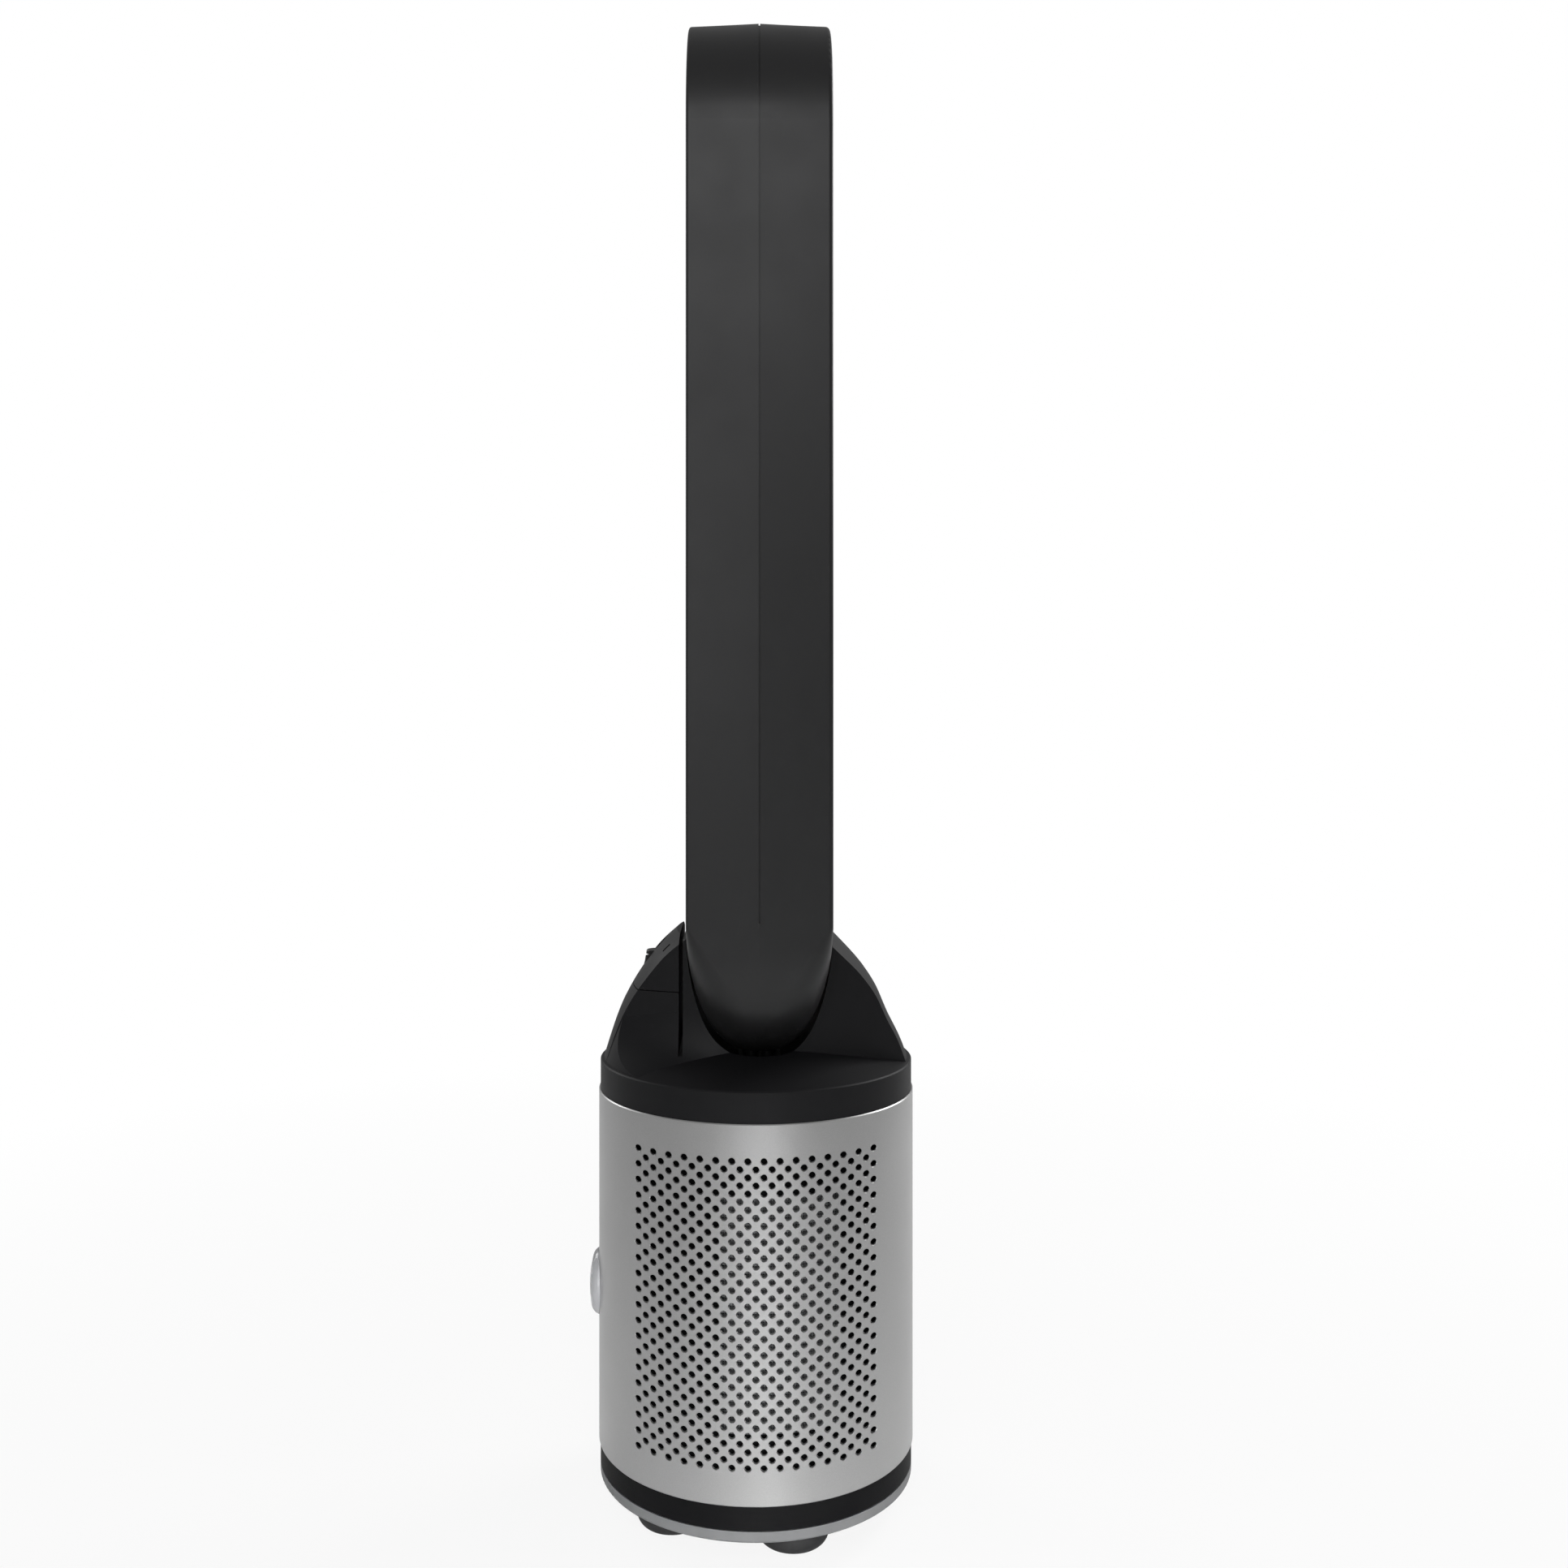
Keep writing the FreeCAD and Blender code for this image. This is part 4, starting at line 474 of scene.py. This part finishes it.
class Finish(Enum):
    """Every finish on the fan, by what it is."""

    # dark sprayed coats: the loop's has a soft satin sheen; the cap and control head carry the same
    # graphite coat, flatter, with its colour painted a shade darker as painted shade for the lower
    # housing, which gets less light
    GRAPHITE_LACQUER = MetallicLacquer(
        "graphite_metallic_lacquer", "222223", "282829", 0.42, 0.20, 0.4, 3.0, 0.05, 0.40
    )
    CAP_LACQUER = MetallicLacquer(
        "graphite_lacquer_painted_darker", "17171A", "1C1C1D", 0.50, 0.10, 0.4, 3.0, 0.0, 0.20
    )
    # the drum's coat: enough flake that its curve runs from bright to grey like brushed aluminium
    SILVER_LACQUER = MetallicLacquer("silver_metallic_lacquer", "A9A9A9", "B5B5B5", 0.34, 0.82)
    # bare mouldings: an even, dull grain, near black where it must vanish behind the holes
    GREY_ABS = MouldedPlastic("grey_moulded_abs", "68696A", "717273", 0.50)
    BLACK_ABS = MouldedPlastic("black_moulded_abs", "08080A", "0D0D0E", 0.56, 0.6, 0.02, 0.10)
    BLACK_NYLON = MouldedPlastic("black_glass_filled_nylon", "121213", "1C1C1E", 0.58, 0.8, 0.03)
    WHITE_ACETAL = MouldedPlastic("natural_acetal", "E4E2DA", "EFEDE6", 0.38, 1.2, 0.01)
    GREY_NYLON = MouldedPlastic("grey_glass_filled_nylon", "3A3B3D", "444548", 0.52, 0.8, 0.03)
    BLACK_RUBBER = MouldedRubber("moulded_rubber", "0C0C0D", "181819")
    # metals and the motor's magnet inside: streaks of gloss from plating, grinding and stacking
    ZINC_STEEL = WorkedSteel("zinc_plated_steel", "9A9B9D", "B9BABB", 0.38)
    SCREW_STEEL = WorkedSteel("blackened_screw_steel", "55565A", "77787B", 0.34)
    GROUND_STEEL = WorkedSteel("ground_bearing_steel", "A8A9AC", "C6C7C9", 0.22, (1.0, 1.0, 30.0))
    COPPER_STACK = WorkedSteel("laminated_motor_stack", "7A4630", "B4694A", 0.40, (1.0, 1.0, 40.0))
    FERRITE = WorkedSteel("sintered_ferrite", "3A3A3C", "4C4C4F", 0.55)
    # the screen behind the holes shows as grey threads, so some holes look lighter than others
    FILTER_SCREEN = WovenMesh("woven_filter_screen", "9A9B9D", "3A3B3D", 1.6)
    BOARD = CircuitBoard("solder_masked_board", "1C6B3C", "14522D")
    # clear-gloss mouldings: a sharp highlight on the lens and on the two sensor windows
    LENS = PolishedPlastic("light_grey_polycarbonate", "B6B7BA", "BEBFC2", 0.22)
    SMOKE_WINDOW = PolishedPlastic("smoked_polycarbonate", "0B0B0D", "131316", 0.08)

    def material(self) -> bpy.types.Material:
        """Give the finish's material, made once.

        Returns:
            The material from the blend data, or a new one on the first call.
        """
        made = bpy.data.materials.get(self.value.name)
        return made or self.value.build()


def dress(node: str, finish: Finish) -> None:
    """Give a node of the construction model its finish.

    Args:
        node: the node's name.
        finish: the finish that it gets.
    """
    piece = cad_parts[node]
    piece.data.materials.clear()
    piece.data.materials.append(finish.material())
    LOG.info("%s dressed in %s", node, finish.value.name)


def add_piece(
    name: str,
    vertices: list[tuple[float, float, float]],
    faces: list[tuple[int, ...]],
    finish: Finish,
    sharp_deg: float = 35.0,
) -> bpy.types.Object:
    """Make a mesh piece with smooth faces and crisp edges.

    Args:
        name: the piece's name.
        vertices: corner positions in metres.
        faces: corner indices of each face.
        finish: the finish that it gets.
        sharp_deg: edges that bend more than this stay crisp.

    Returns:
        The new object, linked to the scene.
    """
    mesh = bpy.data.meshes.new(name)
    mesh.from_pydata(vertices, [], faces)
    mesh.validate()
    mesh.shade_smooth()
    mesh.set_sharp_from_angle(angle=math.radians(sharp_deg))
    mesh.materials.append(finish.material())
    piece = bpy.data.objects.new(name, mesh)
    bpy.context.scene.collection.objects.link(piece)
    LOG.info("%s made with %d faces", name, len(faces))
    return piece


@dataclass
class DressedNodes:
    """Pieces whose construction shape is already right and that only need their finish."""

    finishes: dict[str, Finish] = field(default_factory=lambda: {
        "base_plate": Finish.GREY_ABS,
        "glide_ring": Finish.WHITE_ACETAL,
        "rubber_feet": Finish.BLACK_RUBBER,
        "ballast_plate": Finish.ZINC_STEEL,
        "fixed_gear": Finish.WHITE_ACETAL,
        "retainer_washer": Finish.ZINC_STEEL,
        "retainer_screws": Finish.SCREW_STEEL,
        "chassis": Finish.BLACK_ABS,
        "pivot_bush": Finish.WHITE_ACETAL,
        "oscillation_motor": Finish.ZINC_STEEL,
        "oscillation_motor_screws": Finish.SCREW_STEEL,
        "drive_pinion": Finish.WHITE_ACETAL,
        "pinion_shaft": Finish.GROUND_STEEL,
        "power_inlet": Finish.BLACK_NYLON,
        "main_board": Finish.BOARD,
        "front_lens": Finish.LENS,
        "indicator_board": Finish.BOARD,
        "inner_drum": Finish.BLACK_ABS,
        "right_filter": Finish.FILTER_SCREEN,
        "left_filter": Finish.FILTER_SCREEN,
        "fan_duct": Finish.BLACK_ABS,
        "bell_mouth": Finish.BLACK_ABS,
        "impeller": Finish.GREY_NYLON,
        "motor_shaft": Finish.GROUND_STEEL,
        "motor_rotor": Finish.FERRITE,
        "motor_stator": Finish.COPPER_STACK,
        "motor_bearings": Finish.GROUND_STEEL,
        "diffuser": Finish.BLACK_ABS,
        "tail_cone": Finish.BLACK_ABS,
        "duct_dampers": Finish.BLACK_RUBBER,
        # the cap and the control head get the graphite coat with its colour painted a shade darker:
        # painted shade
        "cap": Finish.CAP_LACQUER,
        "cap_screws": Finish.SCREW_STEEL,
        "air_funnel": Finish.BLACK_ABS,
        "neck_gasket": Finish.BLACK_RUBBER,
        "control_head": Finish.CAP_LACQUER,
        "sensor_windows": Finish.SMOKE_WINDOW,
        "control_knob": Finish.GRAPHITE_LACQUER,
        "encoder_shaft": Finish.GROUND_STEEL,
        "encoder_plunger": Finish.WHITE_ACETAL,
        "encoder_body": Finish.BLACK_NYLON,
        "control_board": Finish.BOARD,
        "loop_front_shell": Finish.GRAPHITE_LACQUER,
        "loop_rear_shell": Finish.GRAPHITE_LACQUER,
        "loop_screws": Finish.SCREW_STEEL,
    })

    def build(self) -> None:
        """Dress every node that the table names."""
        for node, finish in self.finishes.items():
            dress(node, finish)


@dataclass
class SurfaceNet:
    """Corners and faces of one mesh while it is being made; a corner with a known key is shared."""

    vertices: list[tuple[float, float, float]] = field(default_factory=list)
    faces: list[tuple[int, ...]] = field(default_factory=list)
    known: dict[Hashable, int] = field(default_factory=dict)

    def corner(self, key: Hashable, place: tuple[float, float, float]) -> int:
        """Give a corner's index, adding the corner when its key is new.

        Args:
            key: names the corner.
            place: its position in metres.

        Returns:
            The corner's index.
        """
        if key not in self.known:
            self.known[key] = len(self.vertices)
            self.vertices.append(place)
        return self.known[key]

    def face(self, corners: Sequence[int], turned: bool = False) -> None:
        """Add a face.

        Args:
            corners: its corners, counter-clockwise seen from outside.
            turned: reverse them.
        """
        self.faces.append(tuple(reversed(corners)) if turned else tuple(corners))

    def band(self, first: Sequence[int], second: Sequence[int]) -> None:
        """Join two closed rings of as many corners with quads.

        Args:
            first: corner indices of one ring.
            second: corner indices of the other ring.
        """
        for index, here in enumerate(first):
            after = (index + 1) % len(first)
            self.face((here, first[after], second[after], second[index]))

    def stitch(
        self, rim: Sequence[tuple[float, int]], ring: Sequence[tuple[float, int]], turned: bool
    ) -> None:
        """Fill the space between a cell's rim and a ring inside it with triangles.

        Args:
            rim: angle and index of each corner of the cell, by rising angle.
            ring: angle and index of each corner of the ring, by rising angle.
            turned: reverse the triangles.
        """
        outer = list(rim) + [(rim[0][0] + math.tau, rim[0][1])]
        inner = list(ring) + [(ring[0][0] + math.tau, ring[0][1])]
        i = j = 0
        while i < len(rim) or j < len(ring):
            if j == len(ring) or (i < len(rim) and outer[i + 1][0] <= inner[j + 1][0]):
                self.face((outer[i][1], outer[i + 1][1], inner[j][1]), turned)
                i += 1
            else:
                self.face((outer[i][1], inner[j + 1][1], inner[j][1]), turned)
                j += 1


@dataclass
class PerforatedCovers:
    """The two half covers of the drum, with straight-drawn countersunk holes in a brick pattern.

    The holes are drawn along X, so they close up towards the sides of the field. A cell is two
    grid rows high, and neighbouring columns are a row apart.
    """

    outer_r: float = 107.0 * MM
    wall: float = 2.2 * MM
    edge: float = 0.6 * MM
    seam: float = 0.1 * MM
    seam_edge: float = 0.35 * MM
    hole_r: float = 2.0 * MM
    sink_r: float = 2.38 * MM
    sink_depth: float = 0.5 * MM
    pitch: float = 5.0 * MM
    columns: int = 31
    rows: int = 20
    first_above_edge: float = 24.0 * MM
    hole_sides: int = 20
    plain_columns: int = 26

    def build(self) -> None:
        """Make both covers and let them stand for their nodes."""
        for name, side in (("right_shell", 1.0), ("left_shell", -1.0)):
            piece = self.cover(name + "_perforated", side)
            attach(piece, "tower")
            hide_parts(name)

    def column_lines(self) -> list[tuple[tuple[float, float], tuple[float, float]]]:
        """Place the upright grid lines.

        Returns:
            Outer and inner (x, y) of each line, from the front seam to the rear seam.
        """
        inner_r = self.outer_r - self.wall
        half = self.columns * self.pitch / 2
        field_lines = []
        for index in range(self.columns + 1):
            y = -half + index * self.pitch
            out = (math.sqrt(self.outer_r ** 2 - y * y), y)
            into = (math.sqrt(inner_r ** 2 - y * y), y)
            field_lines.append((out, into))
        outer_start = math.asin(half / self.outer_r)
        inner_start = math.asin(half / inner_r)
        outer_end = math.acos((self.seam + self.seam_edge) / self.outer_r)
        inner_end = math.acos((self.seam + self.seam_edge) / inner_r)
        plain = []
        for index in range(1, self.plain_columns + 1):
            share = index / self.plain_columns
            turn = outer_start + (outer_end - outer_start) * share
            inner_turn = inner_start + (inner_end - inner_start) * share
            plain.append((
                (self.outer_r * math.cos(turn), self.outer_r * math.sin(turn)),
                (inner_r * math.cos(inner_turn), inner_r * math.sin(inner_turn)),
            ))
        plain.append(((self.seam, self.outer_r - self.seam_edge), (self.seam, inner_r)))
        front = [((out[0], -out[1]), (into[0], -into[1])) for out, into in reversed(plain)]
        return front + field_lines + plain

    def row_lines(self, low: float, high: float) -> list[float]:
        """Heights of the level grid lines.

        Args:
            low: the cover's lower edge.
            high: its upper edge.

        Returns:
            Heights from the lower edge to the upper edge.
        """
        start = low + self.first_above_edge - self.pitch
        levels = [start + index * self.pitch for index in range(2 * self.rows + 1)]
        return [low, low + self.edge, *levels, high - self.edge, high]

    def hole(
        self, net: SurfaceNet, key: Hashable, y: float, z: float,
        rims: Sequence[Sequence[tuple[float, int]]],
    ) -> None:
        """Cut one countersunk hole into its cell.

        Args:
            net: the mesh being made.
            key: names the hole.
            y: its centre across.
            z: its height.
            rims: the cell's corners on the outer and the inner face, each with its angle.
        """
        inner_r = self.outer_r - self.wall
        rings: list[list[tuple[float, int]]] = []
        layers = (
            (self.outer_r, 0.0, self.sink_r),
            (self.outer_r, self.sink_depth, self.hole_r),
            (inner_r, 0.0, self.hole_r),
        )
        for layer, (radius, depth, size) in enumerate(layers):
            ring = []
            for index in range(self.hole_sides):
                angle = math.tau * (index + 0.5) / self.hole_sides
                across = y + size * math.cos(angle)
                out = math.sqrt(radius ** 2 - across ** 2) - depth
                place = (out, across, z + size * math.sin(angle))
                ring.append((angle, net.corner((key, layer, index), place)))
            rings.append(ring)
        sink, bore, mouth = ([index for _, index in ring] for ring in rings)
        net.stitch(rims[0], rings[0], False)
        net.band(sink, bore)
        net.band(bore, mouth)
        net.stitch(rims[1], rings[2], True)

    def cover(self, name: str, side: float) -> bpy.types.Object:
        """Make one half cover.

        Args:
            name: the piece's name.
            side: 1 for the cover at +X and -1 for the other.

        Returns:
            The new object.
        """
        low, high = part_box("right_shell")
        lines = self.column_lines()
        levels = self.row_lines(low.z, high.z)
        net = SurfaceNet()
        last_row = len(levels) - 1
        last_line = len(lines) - 1

        def outer(line: int, row: int) -> int:
            """Give a grid corner on the outer face.

            Args:
                line: which upright line.
                row: which level.

            Returns:
                The corner's index.
            """
            shrink = 1 - self.edge / self.outer_r if row in (0, last_row) else 1.0
            (x, y), _ = lines[line]
            return net.corner(("outer", line, row), (x * shrink, y * shrink, levels[row]))

        def inner(line: int, row: int) -> int:
            """Give a grid corner on the inner face.

            Args:
                line: which upright line.
                row: which level.

            Returns:
                The corner's index.
            """
            _, (x, y) = lines[line]
            return net.corner(("inner", line, row), (x, y, levels[row]))

        first_line = self.plain_columns + 1
        for line in range(last_line):
            column = line - first_line
            inside = 0 <= column < self.columns
            row = 0
            while row < last_row:
                step = row - 2
                holed = inside and 0 <= step < 2 * self.rows and (step - column) % 2 == 0
                holed = holed and step + 2 <= 2 * self.rows - column % 2
                if not holed:
                    quad = ((line, row), (line + 1, row), (line + 1, row + 1), (line, row + 1))
                    net.face([outer(*place) for place in quad])
                    net.face([inner(*place) for place in quad], True)
                    row += 1
                    continue
                y = (column + 0.5 - self.columns / 2) * self.pitch
                z = levels[row + 1]
                around = (
                    (line + 1, row + 1), (line + 1, row + 2), (line, row + 2),
                    (line, row + 1), (line, row), (line + 1, row),
                )
                rims = []
                for place in (outer, inner):
                    rim = []
                    for across, up in around:
                        dy = (across - line - 0.5) * self.pitch
                        dz = levels[up] - z
                        rim.append((math.atan2(dz, dy) % math.tau, place(across, up)))
                    rims.append(rim)
                self.hole(net, (column, step), y, z, rims)
                row += 2
            net.face((outer(line, 0), inner(line, 0), inner(line + 1, 0), outer(line + 1, 0)))
            top = (outer(line, last_row), outer(line + 1, last_row))
            net.face((*top, inner(line + 1, last_row), inner(line, last_row)))
        for row in range(last_row):
            net.face((outer(0, row), outer(0, row + 1), inner(0, row + 1), inner(0, row)))
            end = last_line
            net.face((outer(end, row), inner(end, row), inner(end, row + 1), outer(end, row + 1)))
        vertices = [(side * x, y, z) for x, y, z in net.vertices]
        faces = net.faces if side > 0 else [tuple(reversed(face)) for face in net.faces]
        return add_piece(name, vertices, faces, Finish.SILVER_LACQUER)


@dataclass(frozen=True)
class Softbox:
    """One soft rectangular lamp, which faces a point with a beam of some angle."""

    name: str
    place: tuple[float, float, float]
    target: tuple[float, float, float]
    size: tuple[float, float]
    watts: float
    spread_deg: float = 180.0

    def build(self) -> None:
        """Hang the lamp."""
        light = bpy.data.lights.new(self.name, "AREA")
        light.spread = math.radians(self.spread_deg)
        light.shape = "RECTANGLE"
        light.size, light.size_y = self.size
        light.energy = self.watts
        lamp = bpy.data.objects.new(self.name, light)
        lamp.location = self.place
        lamp.rotation_mode = "QUATERNION"
        aim = Vector(self.target) - Vector(self.place)
        lamp.rotation_quaternion = aim.to_track_quat("-Z", "Y")
        bpy.context.scene.collection.objects.link(lamp)


# a high key lamp on the camera's side, a front and a low one, and one behind each edge of the fan
SOFTBOXES = (
    Softbox("high_softbox", (1.6, -0.15, 1.5), (0.0, 0.0, 0.85), (1.1, 0.7), 7.8),
    Softbox("front_softbox", (1.9, -0.5, 0.7), (0.0, 0.0, 0.3), (0.5, 0.6), 2.7),
    Softbox("low_softbox", (2.0, 0.2, 0.25), (0.0, 0.0, -0.26), (0.8, 0.3), 3.1, 28.0),
    Softbox("rear_strip", (-0.8, 1.2, 1.3), (0.0, 0.1, 0.3), (0.6, 0.8), 13.0),
    Softbox("front_strip", (-1.1, -1.35, 1.2), (0.0, -0.1, 0.3), (0.6, 0.8), 5.5),
)


@dataclass
class StudioStage:
    """White room with a pale floor, soft lamps and the camera."""

    camera_distance: float = 1.085
    camera_height: float = 0.542
    lens_mm: float = 36.3
    sensor_mm: float = 36.0
    shift: tuple[float, float] = (0.0179, -0.0538)
    floor_reach: float = 9.0
    floor_shown: float = 0.88
    shadow_start: float = 0.15
    shadow_reach: float = 1.3
    floor_mirrored: float = 0.30
    room_mirrored: float = 0.22
    room_strength: float = 0.23
    paint_cloud_mm: float = 120.0

    def build(self) -> None:
        """Make the floor, the world, the lamps and the camera."""
        self.floor()
        self.world()
        for softbox in SOFTBOXES:
            softbox.build()
        self.camera()

    def seen_share(self, tree: bpy.types.NodeTree, mirrored: float) -> bpy.types.NodeSocket:
        """Share of plain white that a ray gets instead of the lit surface.

        Args:
            tree: the node tree to add to.
            mirrored: share for rays that a glossy surface sends out.

        Returns:
            The share: 1 for camera rays and for rays through clear pieces.
        """
        path = add_node(tree, "ShaderNodeLightPath")
        direct = add_node(tree, "ShaderNodeMath", {"operation": "MAXIMUM"})
        tree.links.new(path.outputs["Is Camera Ray"], direct.inputs[0])
        tree.links.new(path.outputs["Is Transmission Ray"], direct.inputs[1])
        share = add_node(tree, "ShaderNodeMath", {"operation": "MULTIPLY_ADD"})
        share.inputs[1].default_value = mirrored
        tree.links.new(path.outputs["Is Glossy Ray"], share.inputs[0])
        tree.links.new(direct.outputs[0], share.inputs[2])
        return share.outputs[0]

    def floor_share(self, tree: bpy.types.NodeTree) -> bpy.types.NodeSocket:
        """Share of plain white on the floor, less than full near the fan so that its shadow shows.

        Args:
            tree: the node tree to add to.

        Returns:
            The share.
        """
        radius = add_node(tree, "ShaderNodeVectorMath", {"operation": "LENGTH"})
        tree.links.new(object_coordinates(tree), radius.inputs[0])
        settings = {
            "From Min": self.shadow_start,
            "From Max": self.shadow_reach,
            "To Min": self.floor_shown,
            "To Max": 1.0,
        }
        fade = add_node(tree, "ShaderNodeMapRange", settings, {"Value": radius.outputs["Value"]})
        share = add_node(tree, "ShaderNodeMath", {"operation": "MULTIPLY"})
        tree.links.new(self.seen_share(tree, self.floor_mirrored), share.inputs[0])
        tree.links.new(fade.outputs["Result"], share.inputs[1])
        return share.outputs[0]

    def floor(self) -> None:
        """Lay a pale floor that keeps the fan's shadow."""
        reach = self.floor_reach
        corners = [(x * reach, y * reach, 0.0) for x, y in ((-1, -1), (1, -1), (1, 1), (-1, 1))]
        mesh = bpy.data.meshes.new("studio_floor")
        mesh.from_pydata(corners, [], [(0, 1, 2, 3)])
        piece = bpy.data.objects.new("studio_floor", mesh)
        bpy.context.scene.collection.objects.link(piece)
        material, tree = new_material("white_studio_paint")
        paint = grain(tree, self.paint_cloud_mm, 2.0)
        colour = two_tone(tree, remap(tree, paint, 0.0, 1.0), "F2F2F2", "F5F5F5")
        matt = add_node(tree, "ShaderNodeBsdfDiffuse", {}, {"Color": colour})
        glow = add_node(tree, "ShaderNodeEmission", {"Color": linear("FFFFFF"), "Strength": 1.0})
        mix = add_node(tree, "ShaderNodeMixShader", {}, {"Fac": self.floor_share(tree)})
        tree.links.new(matt.outputs["BSDF"], mix.inputs[1])
        tree.links.new(glow.outputs["Emission"], mix.inputs[2])
        add_node(tree, "ShaderNodeOutputMaterial", links={"Surface": mix.outputs["Shader"]})
        mesh.materials.append(material)

    def world(self) -> None:
        """Fill the room with an even grey that the camera sees as white."""
        world = bpy.data.worlds.new("studio_world")
        world.use_nodes = True
        tree = world.node_tree
        tree.nodes.clear()
        settings = {"Color": linear("C4C4C4"), "Strength": self.room_strength}
        room = add_node(tree, "ShaderNodeBackground", settings)
        white = add_node(tree, "ShaderNodeBackground", {"Color": linear("FFFFFF"), "Strength": 1.0})
        share = self.seen_share(tree, self.room_mirrored)
        mix = add_node(tree, "ShaderNodeMixShader", {}, {"Fac": share})
        tree.links.new(room.outputs["Background"], mix.inputs[1])
        tree.links.new(white.outputs["Background"], mix.inputs[2])
        add_node(tree, "ShaderNodeOutputWorld", links={"Surface": mix.outputs["Shader"]})
        bpy.context.scene.world = world

    def camera(self) -> None:
        """Place the camera at the fan's side."""
        data = bpy.data.cameras.new("side_camera")
        data.lens = self.lens_mm
        data.sensor_width = self.sensor_mm
        data.shift_x, data.shift_y = self.shift
        camera = bpy.data.objects.new("side_camera", data)
        camera.location = (self.camera_distance, 0.0, self.camera_height)
        camera.rotation_euler = (math.radians(90), 0.0, math.radians(90))
        bpy.context.scene.collection.objects.link(camera)
        bpy.context.scene.camera = camera


def main() -> None:
    """Build the stage and every sub-assembly."""
    logging.basicConfig(level=logging.INFO, format="%(name)s: %(message)s")
    scene = bpy.context.scene
    scene.view_settings.view_transform = "Standard"
    for part in (StudioStage(), DressedNodes(), PerforatedCovers()):
        part.build()
        LOG.info("%s ready", type(part).__name__)


if __name__ == "__main__":
    main()
